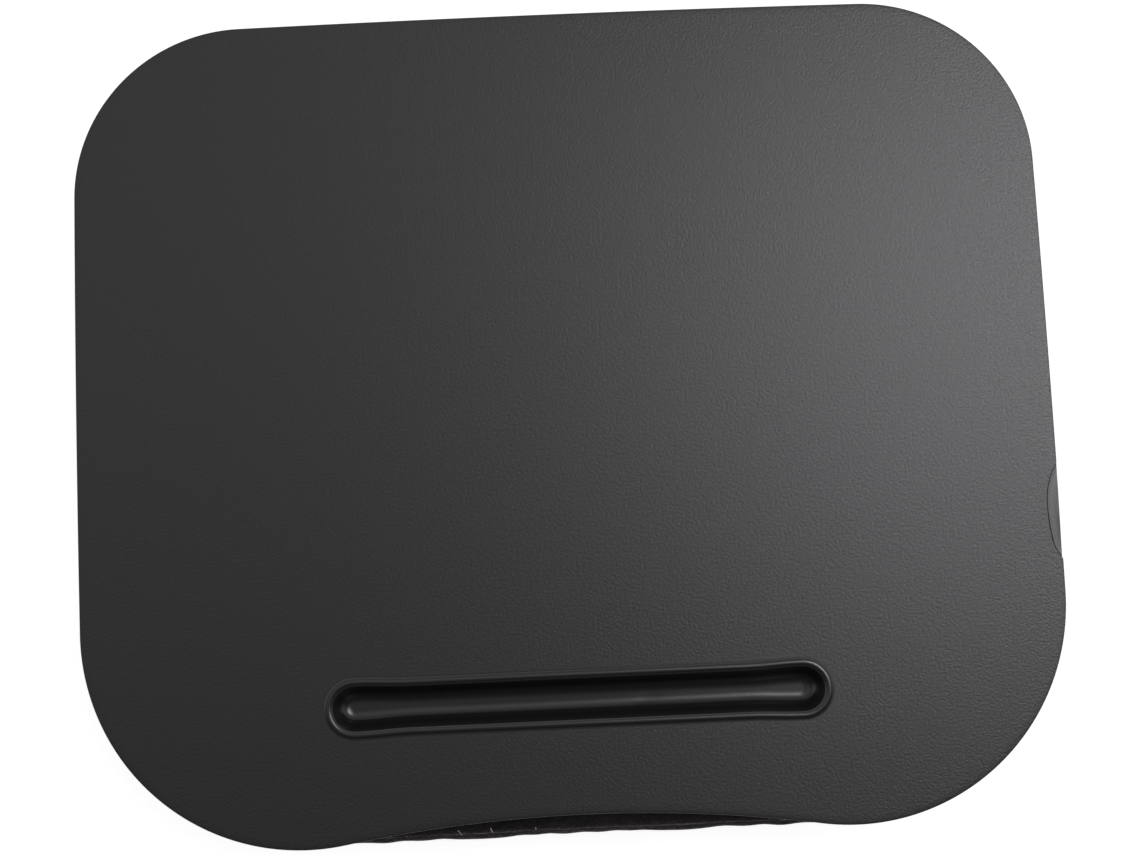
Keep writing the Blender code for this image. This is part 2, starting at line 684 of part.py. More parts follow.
def main():
    for old in list(bpy.data.objects):
        bpy.data.objects.remove(old)
    plastic = material("black_moulded_plastic", (0.030, 0.030, 0.031), 0.45)
    hardboard = material("brown_hardboard", (0.160, 0.085, 0.040), 0.80)
    hook_and_loop = material("black_hook_and_loop", (0.015, 0.015, 0.016), 0.95)
    plush = material("black_plush", (0.012, 0.011, 0.012), 1.00)
    calico = material("white_calico", (0.650, 0.630, 0.580), 0.90)
    tape = material("black_woven_tape", (0.014, 0.014, 0.014), 0.90)
    nylon = material("black_nylon", (0.020, 0.020, 0.020), 0.40)
    steel = material("zinc_plated_steel", (0.560, 0.570, 0.580), 0.30, 1.0)
    black_metal = material("black_lacquered_metal", (0.030, 0.030, 0.030), 0.35, 0.6)

    make_tray(plastic)
    make_board(hardboard)
    make_screws(steel)
    make_strips(hook_and_loop)
    panel(
        "cushion_top_panel",
        CUSHION_HEIGHT,
        -1,
        UPPER_SEAM_DROP,
        TOP_ROLL_WIDTH,
        TOP_ROLL_STEPS,
        plush,
    )
    panel("cushion_bottom_panel", 0, 1, LOWER_SEAM_RISE, BASE_ROLL_WIDTH, BASE_ROLL_STEPS, plush)
    make_band(plush)
    make_bead_bag(calico)
    make_zip(tape, nylon, black_metal)
    make_slider(black_metal)


main()
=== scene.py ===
# %% [markdown]
# # A lap desk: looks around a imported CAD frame
#
# A lap desk is a hard moulded tray on a soft, bead-filled cushion. This lesson dresses its CAD model
# for a picture: the tray, its groove and its thumb nick, the plush cover with its zip, and the parts
# inside. The CAD model is loaded first and stays where it is, so every new piece is made in the same
# metres, and takes its place from the CAD nodes that it stands for.

# %% Load the frame
import math

import bmesh
import bpy
import numpy as np
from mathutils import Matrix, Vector, noise


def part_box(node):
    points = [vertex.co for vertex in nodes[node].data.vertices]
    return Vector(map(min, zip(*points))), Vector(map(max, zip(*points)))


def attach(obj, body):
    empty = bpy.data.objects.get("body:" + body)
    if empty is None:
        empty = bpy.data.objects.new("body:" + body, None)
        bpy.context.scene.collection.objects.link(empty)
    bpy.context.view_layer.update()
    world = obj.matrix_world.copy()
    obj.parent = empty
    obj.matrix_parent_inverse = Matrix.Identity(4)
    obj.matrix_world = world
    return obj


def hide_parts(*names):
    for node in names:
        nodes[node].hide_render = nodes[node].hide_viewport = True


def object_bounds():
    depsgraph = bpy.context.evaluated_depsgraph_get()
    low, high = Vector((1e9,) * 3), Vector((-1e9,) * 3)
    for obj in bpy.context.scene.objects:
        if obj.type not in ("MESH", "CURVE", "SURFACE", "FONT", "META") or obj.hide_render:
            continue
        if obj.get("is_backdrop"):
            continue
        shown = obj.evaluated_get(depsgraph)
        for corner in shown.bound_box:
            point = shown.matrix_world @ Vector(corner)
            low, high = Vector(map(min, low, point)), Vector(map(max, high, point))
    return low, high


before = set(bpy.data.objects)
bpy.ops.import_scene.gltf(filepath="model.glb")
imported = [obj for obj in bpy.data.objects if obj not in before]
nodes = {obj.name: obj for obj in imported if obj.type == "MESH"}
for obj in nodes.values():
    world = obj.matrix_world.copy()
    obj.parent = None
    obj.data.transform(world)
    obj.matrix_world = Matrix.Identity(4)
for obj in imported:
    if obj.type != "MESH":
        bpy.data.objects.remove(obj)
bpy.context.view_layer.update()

# %% [markdown]
# The camera hangs about 61 cm over the tray and leans back a little, with a 50 mm lens. Its place was
# fitted to the tray's outline and groove, so the picture's frame follows from three lengths and three
# angles. It comes first, because every later choice is judged through it.

# %% Camera
CAMERA_PLACE = (-0.00549, -0.06837, 0.67544)
CAMERA_TURN = (5.9164, -0.3881, -2.5531)

bpy.ops.object.select_all(action="DESELECT")
bpy.ops.object.camera_add(location=CAMERA_PLACE, rotation=[math.radians(a) for a in CAMERA_TURN])
camera = bpy.context.object
camera.name = "camera"
camera.data.lens = 50
camera.data.sensor_width = 36
camera.data.clip_start = 0.01
bpy.context.scene.camera = camera
bpy.context.scene.view_settings.view_transform = "Standard"

# %% [markdown]
# A few small functions serve every material. Colours are written as sRGB hex values, as a paint chart
# gives them, and Blender's shaders want linear light, so one function turns them. Another adds a node
# to a tree: its settings are properties, and its inputs are numbers or links from other nodes. The
# rest add the nodes that come up most often, and give back the output that is wanted from them.


# %% Colour and node helpers
def linear(hex_colour):
    """An sRGB hex colour as linear red, green, blue and alpha."""
    parts = [int(hex_colour[i : i + 2], 16) / 255 for i in (1, 3, 5)]
    parts = [p / 12.92 if p <= 0.04045 else ((p + 0.055) / 1.055) ** 2.4 for p in parts]
    return (*parts, 1.0)


def add_node(tree, kind, inputs, **settings):
    """Adds a node, sets its properties, and fills its inputs with values or links."""
    made = tree.nodes.new(kind)
    for name, value in settings.items():
        setattr(made, name, value)
    for name, value in inputs.items():
        if isinstance(value, bpy.types.NodeSocket):
            tree.links.new(value, made.inputs[name])
        else:
            made.inputs[name].default_value = value
    return made


def add_math(tree, operation, first, second):
    """A Math node's result."""
    return add_node(tree, "ShaderNodeMath", {0: first, 1: second}, operation=operation).outputs[0]


def add_range(tree, value, span, result):
    """A value, with one span of values mapped to another. Each is given by its two ends."""
    inputs = {"Value": value, 1: span[0], 2: span[1], 3: result[0], 4: result[1]}
    return add_node(tree, "ShaderNodeMapRange", inputs).outputs["Result"]


def add_place(tree):
    """Where a point is on its object, in metres."""
    return add_node(tree, "ShaderNodeTexCoord", {}).outputs["Object"]


def add_noise(tree, place, scale, detail, roughness=0.5):
    """A noise texture's value."""
    inputs = {"Vector": place, "Scale": scale, "Detail": detail, "Roughness": roughness}
    return add_node(tree, "ShaderNodeTexNoise", inputs).outputs["Fac"]


def add_ramp(tree, value, *stops):
    """A ramp's colour at a value. Each of the two stops is a position and a hex colour."""
    ramp = add_node(tree, "ShaderNodeValToRGB", {"Fac": value})
    for stop, (position, hex_colour) in zip(ramp.color_ramp.elements, stops):
        stop.position = position
        stop.color = linear(hex_colour)
    return ramp.outputs["Color"]


def add_bump(tree, shader, height, depth, strength=1.0, invert=False):
    """Gives a shader the relief of a height map, so many metres deep."""
    inputs = {"Height": height, "Distance": depth, "Strength": strength}
    bump = add_node(tree, "ShaderNodeBump", inputs, invert=invert)
    tree.links.new(bump.outputs["Normal"], shader.inputs["Normal"])


def new_finish(name, hex_colour, roughness, metallic=0.0):
    """A material with plain starting values, its node tree and its shader node."""
    made = bpy.data.materials.new(name)
    made.use_nodes = True
    shader = made.node_tree.nodes["Principled BSDF"]
    shader.inputs["Base Color"].default_value = linear(hex_colour)
    shader.inputs["Roughness"].default_value = roughness
    shader.inputs["IOR"].default_value = 1.5
    shader.inputs["Metallic"].default_value = metallic
    return made, made.node_tree, shader


# %% [markdown]
# The ground is a plain pale table. It is partly a real surface, which catches the object's shadow, and
# partly a glow that only the camera and mirror rays see, which carries it to white in the picture
# without sending more light to the object. From below it is clear, so that the base can be looked at.

# %% Ground
GROUND_GREY = "#9c9c9b"
GROUND_GLOW = 0.88
GROUND_RADIUS = 60.0

bpy.ops.mesh.primitive_circle_add(vertices=96, radius=GROUND_RADIUS, fill_type="NGON")
ground = bpy.context.object
ground.name = "ground"
ground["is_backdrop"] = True

paper, tree, shader = new_finish("pale_table", GROUND_GREY, 1.0)
shader.inputs["Specular IOR Level"].default_value = 0.0
rays = add_node(tree, "ShaderNodeLightPath", {}).outputs
seen = add_math(tree, "MAXIMUM", rays["Is Camera Ray"], rays["Is Glossy Ray"])
seen = add_math(tree, "MAXIMUM", seen, rays["Is Transmission Ray"])
power = add_math(tree, "MULTIPLY", seen, GROUND_GLOW)
glow = add_node(tree, "ShaderNodeEmission", {"Color": linear("#ffffff"), "Strength": power})
both = add_node(
    tree, "ShaderNodeAddShader", {0: shader.outputs["BSDF"], 1: glow.outputs["Emission"]}
)
clear = add_node(tree, "ShaderNodeBsdfTransparent", {})
side = add_node(tree, "ShaderNodeNewGeometry", {})
seen_side = add_node(
    tree,
    "ShaderNodeMixShader",
    {"Fac": side.outputs["Backfacing"], 1: both.outputs["Shader"], 2: clear.outputs["BSDF"]},
)
tree.links.new(seen_side.outputs["Shader"], tree.nodes["Material Output"].inputs["Surface"])
ground.data.materials.append(paper)

# %% [markdown]
# A black glossy tray shows what stands over it more than its own colour. In the photograph it is
# bright at the right and nearly black in the front middle. The bright side is the blurred mirror image
# of one soft lamp, high and far off to the right, so the key lamp is a square softbox there. The dark
# middle mirrors the unlit side of the room, in front of the tray. So the sky is white low down, dims
# half-way up, brightens round a dark spot overhead, and is dark towards the front.

# %% Lamps
TRAY_TOP = 0.062
KEY_PLACE = (1.65, 0.80, 4.06)
KEY_SIZE = 1.75
KEY_POWER = 59.3

bpy.ops.object.light_add(type="AREA", location=KEY_PLACE)
key = bpy.context.object
key.name = "key_softbox"
key.data.shape = "SQUARE"
key.data.size = KEY_SIZE
key.data.energy = KEY_POWER
key.data.color = (1.0, 1.0, 1.04)
aim = Vector((0.0, 0.0, TRAY_TOP)) - Vector(KEY_PLACE)
key.rotation_euler = aim.to_track_quat("-Z", "Y").to_euler()
key.visible_camera = False

# %% World
SKY_BY_HEIGHT = (
    (0.00, 1.00),
    (0.25, 0.99),
    (0.40, 0.80),
    (0.55, 0.51),
    (0.70, 0.41),
    (0.80, 0.55),
    (0.88, 0.75),
    (0.94, 0.82),
    (0.98, 0.63),
    (1.00, 0.24),
)
# A direction's height is its Z and its depth its Y, from -1 to 1. The front keeps a share of the light
# that shrinks between two heights, and its darkness fades out between two depths.
FRONT_SHARES = (0.32, 0.15)
SHARE_HEIGHTS = (0.20, 0.55)
FRONT_DEPTHS = (-0.38, 0.12)

world = bpy.data.worlds.new("studio")
bpy.context.scene.world = world
world.use_nodes = True
sky = world.node_tree
sky.nodes.clear()
direction = add_node(sky, "ShaderNodeTexCoord", {}).outputs["Generated"]
xyz = add_node(sky, "ShaderNodeSeparateXYZ", {"Vector": direction}).outputs
shade = add_node(sky, "ShaderNodeValToRGB", {"Fac": xyz["Z"]})
while len(shade.color_ramp.elements) < len(SKY_BY_HEIGHT):
    shade.color_ramp.elements.new(0.5)
for stop, (sine, level) in zip(shade.color_ramp.elements, SKY_BY_HEIGHT):
    stop.position = sine
    stop.color = (level, level, level, 1.0)
share = add_range(sky, xyz["Z"], SHARE_HEIGHTS, FRONT_SHARES)
strength = add_range(sky, xyz["Y"], FRONT_DEPTHS, (share, 1.0))
lit_sky = add_node(
    sky, "ShaderNodeBackground", {"Color": shade.outputs["Color"], "Strength": strength}
)
white_sky = add_node(sky, "ShaderNodeBackground", {"Color": linear("#ffffff"), "Strength": 1.0})
light_path = add_node(sky, "ShaderNodeLightPath", {})
sky_mix = add_node(
    sky,
    "ShaderNodeMixShader",
    {
        "Fac": light_path.outputs["Is Camera Ray"],
        1: lit_sky.outputs["Background"],
        2: white_sky.outputs["Background"],
    },
)
add_node(sky, "ShaderNodeOutputWorld", {"Surface": sky_mix.outputs["Shader"]})

# %% [markdown]
# The next helpers do by code what a modeller does by hand: go into edit mode, pick vertices, edges or
# faces by where they are, and leave again. A line of arcs is drawn with the spin tool from a single
# vertex. Each arc starts where the last one stopped and in the same direction, so the outline has no
# kink, however long the chain is.


# %% Modelling helpers
WELD = 0.00002


def leave_edit():
    """Back to object mode with nothing selected, so that the next operator acts on what it adds."""
    if bpy.context.mode != "OBJECT":
        bpy.ops.object.mode_set(mode="OBJECT")
    bpy.ops.object.select_all(action="DESELECT")


def activate(*pieces):
    """Selects these objects only, and makes the first one active."""
    leave_edit()
    for piece in pieces:
        piece.select_set(True)
    bpy.context.view_layer.objects.active = pieces[0]


def enter_edit(piece):
    """Selects this object only, and opens it in edit mode."""
    activate(piece)
    bpy.ops.object.mode_set(mode="EDIT")


def name_piece(name):
    """Names the object that was just added, and its mesh."""
    made = bpy.context.object
    made.name = name
    made.data.name = name
    return made


def pick(piece, kind, test):
    """In edit mode, selects each vertex, edge or face that passes a test."""
    bpy.ops.mesh.select_mode(type=kind)
    bpy.ops.mesh.select_all(action="DESELECT")
    shape = bmesh.from_edit_mesh(piece.data)
    for item in {"VERT": shape.verts, "EDGE": shape.edges, "FACE": shape.faces}[kind]:
        item.select_set(bool(test(item)))
    shape.select_flush_mode()
    bmesh.update_edit_mesh(piece.data)


def pick_all():
    """In edit mode, selects everything."""
    bpy.ops.mesh.select_all(action="SELECT")


def face_outward():
    """In edit mode, turns every face outward."""
    pick_all()
    bpy.ops.mesh.normals_make_consistent(inside=False)


def extrude(step):
    """In edit mode, extrudes what is selected."""
    bpy.ops.mesh.extrude_region_move(TRANSFORM_OT_translate={"value": step})


def draw_arcs(name, start, bends):
    """Draws tangent arcs and straights from a vertex, heading along +X at first.

    A bend is a radius, a turn in degrees, clockwise if positive, and a number of steps. A straight is
    a length and a number of steps.
    """
    leave_edit()
    bpy.ops.mesh.primitive_plane_add(size=0.001)
    line = name_piece(name)
    bpy.ops.object.mode_set(mode="EDIT")
    bpy.ops.mesh.select_mode(type="VERT")
    pick_all()
    bpy.ops.mesh.merge(type="CENTER")
    bpy.ops.transform.translate(value=start)
    place, heading = Vector(start), 0.0
    for bend in bends:
        ahead = Vector((math.cos(heading), math.sin(heading), 0))
        if len(bend) == 2:
            for _ in range(bend[1]):
                extrude(ahead * bend[0] / bend[1])
            place += ahead * bend[0]
            continue
        radius, degrees, steps = bend
        turn = math.radians(degrees)
        right = Vector((ahead.y, -ahead.x, 0))
        centre = place + right * math.copysign(radius, turn)
        bpy.ops.mesh.spin(steps=steps, angle=turn, center=centre, axis=(0, 0, 1))
        arm = place - centre
        cosine, sine = math.cos(-turn), math.sin(-turn)
        place = centre + Vector(
            (arm.x * cosine - arm.y * sine, arm.x * sine + arm.y * cosine, 0)
        )
        heading -= turn
    return line


def mirror_line(axis, about):
    """In edit mode, adds the drawn line's mirror image and welds it on. Axis 0 is X and 1 is Y."""
    bpy.ops.mesh.select_mode(type="VERT")
    pick_all()
    bpy.ops.mesh.duplicate()
    scale = [1, 1, 1]
    scale[axis] = -1
    bpy.ops.transform.resize(value=scale, center_override=about)
    pick_all()
    bpy.ops.mesh.remove_doubles(threshold=WELD)


def fill_outline(line, up):
    """In edit mode, fills a closed line with one face that looks up or down."""
    pick_all()
    bpy.ops.mesh.edge_face_add()
    bpy.ops.mesh.select_mode(type="FACE")
    pick_all()
    if (bmesh.from_edit_mesh(line.data).faces[:][0].normal.z > 0) != up:
        bpy.ops.mesh.flip_normals()


def inset_steps(steps):
    """Insets the selected face again and again. A step is how far in, and how far out of it."""
    for inward, lift in steps:
        bpy.ops.mesh.inset(thickness=inward, depth=lift, use_interpolate=False)


# %% [markdown]
# The tray is injection moulded in black high-impact styrene, in one piece: a flat top with a rolled
# edge, a straight rim, and a pen groove with a raised bead round it. Seen from above its outline is
# five arcs on each side of the middle: a back that bows out by less than a millimetre, a tight back
# corner, a nearly straight side, a wide front corner, and a long scoop for the user's waist. The half
# is drawn as that chain, mirrored, filled and pulled down to a slab, whose top edge is bevelled. Over
# the last three millimetres before the edge the top falls by 0.07 mm, and then it rolls over.

# %% Tray slab
TRAY_WALL = 0.0022
RIM_WALL = 0.0022
RIM_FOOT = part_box("top_tray")[0].z
EDGE_RADIUS = 0.0003
EDGE_FALL = ((0.0010, 0.00004), (0.0010, 0.00002), (0.0010, 0.00001))
EDGE_TOP = TRAY_TOP - sum(fall for _, fall in EDGE_FALL)
SUPPORT = 0.0004
FLAT = 1e-5
MANY_SIDED = 50
TRAY_BACK = 0.16155
TRAY_HALF_OUTLINE = (
    (9.456, 0.7506, 14),
    (0.06701, 88.781, 48),
    (10.297, 0.952, 18),
    (0.08546, 98.9134, 58),
    (0.55474, -9.397, 18),
)

tray = draw_arcs("moulded_tray", (0, TRAY_BACK, EDGE_TOP), TRAY_HALF_OUTLINE)
mirror_line(0, (0, 0, EDGE_TOP))
fill_outline(tray, True)
extrude((0, 0, RIM_FOOT - EDGE_TOP))
face_outward()
pick(tray, "EDGE", lambda e: all(abs(v.co.z - EDGE_TOP) < FLAT for v in e.verts))
bpy.ops.mesh.bevel(offset=EDGE_RADIUS, segments=5, affect="EDGES")
pick(tray, "FACE", lambda f: f.normal.z > 0.99 and len(f.verts) > MANY_SIDED)
inset_steps((*EDGE_FALL, (SUPPORT, 0)))
print("tray slab faces:", len(bmesh.from_edit_mesh(tray.data).faces))

# %% [markdown]
# The groove is drawn the same way, one quarter at a time: half a straight side, a slow S where the end
# swells by 0.7 mm, and a quarter circle. Filled, that outline is the footprint of the bead. Insets
# then climb over the bead and down into the groove, each with its own depth, so that one face becomes
# the whole channel: a bead like the back of a wire, a slanted wall, a fillet and a shallow round floor.
# Thick plastic sinks as it cools, and that leaves one faint dent in the floor.

# %% Groove
GROOVE_X = 0.0004
GROOVE_Y = -0.1095
GROOVE_HALF_WIDTH = 0.0075
GROOVE_SWELL = 0.0007
GROOVE_STRAIGHT = 0.0640
SWELL_RADIUS = 0.1730
SWELL_DEGREES = 3.6454
BEAD_HEIGHT = 0.0007
BEAD_SLOPE = 0.0018
LIP_RADIUS = 0.0019
WALL_SLOPE = 68
FILLET_RADIUS = 0.0050
FLOOR_RADIUS = 0.0080
FLOOR_SLOPE = 13
FLOOR_FLAT = 0.0005
SINK_X = 0.0270
SINK_REACH = 0.0042
SINK_DEPTH = 0.00009
SINK_CUTS = [SINK_X + number * SINK_REACH / 2.5 for number in range(-4, 5)]
FLOOR_BAND = 0.0006


def draw_groove(name, margin, height, up):
    """The groove's outline, grown by a margin, as one filled face at a height."""
    half = GROOVE_HALF_WIDTH + margin
    quarter = (
        (GROOVE_STRAIGHT, 10),
        (SWELL_RADIUS - margin, -SWELL_DEGREES, 8),
        (SWELL_RADIUS + margin, SWELL_DEGREES, 8),
        (half + GROOVE_SWELL, 90, 20),
    )
    line = draw_arcs(name, (GROOVE_X, GROOVE_Y + half, height), quarter)
    mirror_line(1, (GROOVE_X, GROOVE_Y, height))
    mirror_line(0, (GROOVE_X, GROOVE_Y, height))
    fill_outline(line, up)
    return line


def arc_steps(radius, start, end, count, way):
    """Inset steps along an arc in section, from one slope in degrees to another. Way 1 climbs."""
    slopes = [math.radians(start + (end - start) * i / count) for i in range(count + 1)]
    across = [radius * math.sin(s) for s in slopes]
    along = [radius * math.cos(s) for s in slopes]
    return [
        (abs(across[i + 1] - across[i]), way * abs(along[i + 1] - along[i])) for i in range(count)
    ]


bead_radius = (BEAD_SLOPE**2 + BEAD_HEIGHT**2) / (2 * BEAD_HEIGHT)
bead_foot = math.degrees(math.asin(BEAD_SLOPE / bead_radius))
lip = arc_steps(LIP_RADIUS, 0, WALL_SLOPE, 7, -1)
fillet = arc_steps(FILLET_RADIUS, WALL_SLOPE, FLOOR_SLOPE, 8, -1)
floor = arc_steps(FLOOR_RADIUS, FLOOR_SLOPE, 0, 6, -1)
wall_run = GROOVE_HALF_WIDTH - sum(step[0] for step in fillet)
wall_run -= FLOOR_RADIUS * math.sin(math.radians(FLOOR_SLOPE)) + FLOOR_FLAT
wall_drop = wall_run * math.tan(math.radians(WALL_SLOPE))
bead_width = BEAD_SLOPE + sum(step[0] for step in lip)

groove = draw_groove("groove", bead_width + SUPPORT, TRAY_TOP, True)
inset_steps([(SUPPORT, 0)])
inset_steps(arc_steps(bead_radius, bead_foot, 0, 8, 1))
inset_steps(lip)
inset_steps([(wall_run / 2, -wall_drop / 2), (wall_run / 2, -wall_drop / 2)])
inset_steps(fillet)
inset_steps(floor)
for cut in SINK_CUTS:
    pick_all()
    bpy.ops.mesh.bisect(plane_co=(cut, 0, 0), plane_no=(1, 0, 0))
shape = bmesh.from_edit_mesh(groove.data)
groove_floor = min(v.co.z for v in shape.verts)
for v in shape.verts:
    if v.co.z < groove_floor + FLOOR_BAND:
        v.co.z -= SINK_DEPTH * math.exp(-(((v.co.x - SINK_X) / SINK_REACH) ** 2))
bmesh.update_edit_mesh(groove.data)
print("groove depth, mm:", round(1000 * (TRAY_TOP - groove_floor), 2), "faces:", len(shape.faces))

# %% [markdown]
# Under the slab the rim is a wall 2.2 mm thick, so the bottom face is drawn in by that much and pushed
# up to the ceiling. The channel's outside hangs from that ceiling. The tray, the groove and the channel
# are joined, and the big faces between their loops are filled again as rings. Each loop next to a big
# flat face has a twin 0.4 mm away on the same plane, so the smooth shading of the rolled edges doesn't
# creep into the flat.

# %% Rim, ceiling and channel
CEILING = TRAY_TOP - TRAY_WALL
FOOT_RADIUS = 0.0004
CHANNEL_DEPTH = 0.0112
CHANNEL_RADIUS = 0.0088
# An inset with no width would fold flat, so an upright wall gets this much.
UPRIGHT = 0.00002

enter_edit(tray)
pick(tray, "FACE", lambda f: f.normal.z < -0.99)
inset_steps([(RIM_WALL, 0)])
extrude((0, 0, CEILING - RIM_FOOT))
inset_steps([(SUPPORT, 0)])
pick(
    tray,
    "EDGE",
    lambda e: all(abs(v.co.z - RIM_FOOT) < FLAT for v in e.verts)
    and sum(abs(f.normal.z) < 0.5 for f in e.link_faces) == 1,
)
bpy.ops.mesh.bevel(offset=FOOT_RADIUS, segments=2, affect="EDGES")

channel = draw_groove("channel", TRAY_WALL + SUPPORT, CEILING, False)
inset_steps([(SUPPORT, 0), (UPRIGHT, CHANNEL_DEPTH - TRAY_WALL - CHANNEL_RADIUS)])
inset_steps(arc_steps(CHANNEL_RADIUS, 90, 2, 8, 1))

# %% Join the three
leave_edit()
grained = bpy.data.materials.new("spark_eroded_styrene")
polished = bpy.data.materials.new("polished_styrene")
for part, finish in ((tray, grained), (groove, polished), (channel, grained)):
    part.data.materials.append(finish)
activate(tray, groove, channel)
bpy.ops.object.join()
bpy.ops.object.mode_set(mode="EDIT")
for level, way in ((TRAY_TOP, 1), (CEILING, -1)):
    pick(
        tray,
        "FACE",
        lambda f: len(f.verts) > MANY_SIDED
        and way * f.normal.z > 0.99
        and abs(f.calc_center_median().z - level) < FLAT,
    )
    bpy.ops.mesh.delete(type="ONLY_FACE")
    pick(
        tray,
        "EDGE",
        lambda e: e.is_boundary and all(abs(v.co.z - level) < FLAT for v in e.verts),
    )
    bpy.ops.mesh.fill(use_beauty=True)
face_outward()
shape = bmesh.from_edit_mesh(tray.data)
print("tray open edges:", sum(e.is_boundary for e in shape.edges), "faces:", len(shape.faces))
leave_edit()

# %% [markdown]
# Ribs stiffen the ceiling, and eight blind bosses take the board's screws. Both grow out of the skin in
# the mould, so they are united with it: a grid of blocks, and a drilled cylinder at each screw. The
# thumb nick in the right-hand edge is the other way round. It is a cut. Its cutter is drawn as three
# arcs, a wide one at the back, a nearly straight one and a tight one at the front, and inset downwards:
# a steep wall, then a polished floor that is slightly hollow. The cutter leans forward by 1.5 degrees,
# so the nick is deepest at its front end and fades out at the back.


# %% Ribs and bosses
def unite_or_cut(target, tool, operation):
    """An exact boolean, applied, which uses the tool up."""
    change = target.modifiers.new(operation.title(), "BOOLEAN")
    change.operation = operation
    change.solver = "EXACT"
    change.object = tool
    activate(target)
    bpy.ops.object.modifier_apply(modifier=change.name)
    bpy.data.objects.remove(tool)


def add_block(name, low, high):
    """A block between two corners."""
    leave_edit()
    low, high = Vector(low), Vector(high)
    bpy.ops.mesh.primitive_cube_add(size=1, location=(low + high) / 2, scale=high - low)
    bpy.ops.object.transform_apply()
    return name_piece(name)


RIB_THICKNESS = 0.0018
RIB_FOOT = 0.0538
ROOT = 0.0006
RIBS_ACROSS_Y = (-0.0355, 0.0258, 0.0872)
RIBS_ALONG_X = (-0.1178, -0.0418, 0.0418, 0.1178)
RIB_REACH_X = 0.158
RIB_FRONT_Y = -0.0963
RIB_BACK_Y = 0.1295
half_rib = RIB_THICKNESS / 2

blocks = [((-RIB_REACH_X, y - half_rib), (RIB_REACH_X, y + half_rib)) for y in RIBS_ACROSS_Y]
blocks += [((x - half_rib, RIB_FRONT_Y), (x + half_rib, RIB_BACK_Y)) for x in RIBS_ALONG_X]
for low, high in blocks:
    rib = add_block("rib", (*low, RIB_FOOT), (*high, CEILING + ROOT))
    unite_or_cut(tray, rib, "UNION")

BOSS_RADIUS = 0.0040
PILOT_RADIUS = 0.0018
PILOT_DEPTH = 0.0050
for number in range(1, 9):
    low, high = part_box(f"board_screw_{number}")
    middle = (low + high) / 2
    leave_edit()
    bpy.ops.mesh.primitive_cylinder_add(
        vertices=32,
        radius=BOSS_RADIUS,
        depth=CEILING + ROOT - RIB_FOOT,
        location=(middle.x, middle.y, (CEILING + ROOT + RIB_FOOT) / 2),
    )
    boss = name_piece("boss")
    bpy.ops.object.transform_apply()
    bpy.ops.object.mode_set(mode="EDIT")
    pick(boss, "FACE", lambda f: f.normal.z < -0.9)
    inset_steps([(BOSS_RADIUS - PILOT_RADIUS, 0)])
    extrude((0, 0, PILOT_DEPTH))
    leave_edit()
    unite_or_cut(tray, boss, "UNION")

# %% Thumb nick
NICK_APEX = (0.1851, -0.0425)
NICK_BACK_RADIUS = 0.0300
NICK_SIDE_RADIUS = 0.0850
NICK_SIDE_TURN = 9.5
NICK_FRONT_RADIUS = 0.0160
NICK_CORNER = 0.0080
NICK_SPARE = 0.002
NICK_LIFT = 0.0002
NICK_WALL = (0.0008, 0.0012)
NICK_FLOOR = ((0.0007, 3), (0.0010, 1), (0.0012, -1), (0.0012, -3))
NICK_LEAN = 1.5

turn = math.radians(NICK_SIDE_TURN)
back_x = NICK_APEX[0] + NICK_BACK_RADIUS
back_y = NICK_APEX[1] + NICK_BACK_RADIUS
front_x = NICK_APEX[0] + NICK_SIDE_RADIUS * (1 - math.cos(turn)) + NICK_FRONT_RADIUS * math.cos(turn)
front_y = NICK_APEX[1] - NICK_SIDE_RADIUS * math.sin(turn)
front_y -= NICK_FRONT_RADIUS * (1 - math.sin(turn))
nick_outline = (
    (NICK_SPARE, 1),
    (NICK_CORNER, 90, 6),
    (back_y - front_y - 2 * NICK_CORNER, 1),
    (NICK_CORNER, 90, 6),
    (back_x + NICK_SPARE - front_x, 1),
    (NICK_FRONT_RADIUS, 90 - NICK_SIDE_TURN, 20),
    (NICK_SIDE_RADIUS, NICK_SIDE_TURN, 16),
    (NICK_BACK_RADIUS, 90, 30),
)
nick = draw_arcs("nick", (back_x, back_y, TRAY_TOP + NICK_LIFT), nick_outline)
pick_all()
bpy.ops.mesh.remove_doubles(threshold=WELD)
fill_outline(nick, True)
extrude((0, 0, NICK_SPARE))
face_outward()
pick(nick, "FACE", lambda f: f.normal.z < -0.9)
inset_steps([NICK_WALL])
inset_steps([(across, across * math.tan(math.radians(fall))) for across, fall in NICK_FLOOR])
leave_edit()
lean = math.radians(NICK_LEAN)
for v in nick.data.vertices:
    v.co.z += math.tan(lean) * (v.co.y - NICK_APEX[1])
for finish in (grained, polished):
    nick.data.materials.append(finish)
for face in nick.data.polygons:
    face.material_index = 1
unite_or_cut(tray, nick, "DIFFERENCE")
activate(tray)
bpy.ops.object.shade_smooth_by_angle(angle=math.radians(35))
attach(tray, "desk")
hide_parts("top_tray")
print("tray faces:", len(tray.data.polygons))

# %% [markdown]
# High-impact styrene is a hard, slightly milky plastic, here with carbon black in it. The mould's flat
# was spark-eroded, which leaves a fine, even pitting, so the tray blurs what it mirrors. Real pits are
# about 0.1 mm wide, too fine for the picture, so they are drawn at 0.5 mm. They tilt the surface a
# little, and some spots are rougher than others, which makes the tray sparkle under the lamp and
# nowhere else. The channel and its bead came from a smoother insert, with narrower highlights. Both
# share one colour and one IOR, and a few specks of dust lie on the flat.

# %% Tray finishes
STYRENE_BLACK = "#161616"
STYRENE_IOR = 1.54
PIT_WIDTH = 0.00050
DUST_GREY = "#a09e9a"
DUST_SPACING = 0.017
DUST_RADIUS = 0.00022
DUST_SHARE = 0.035


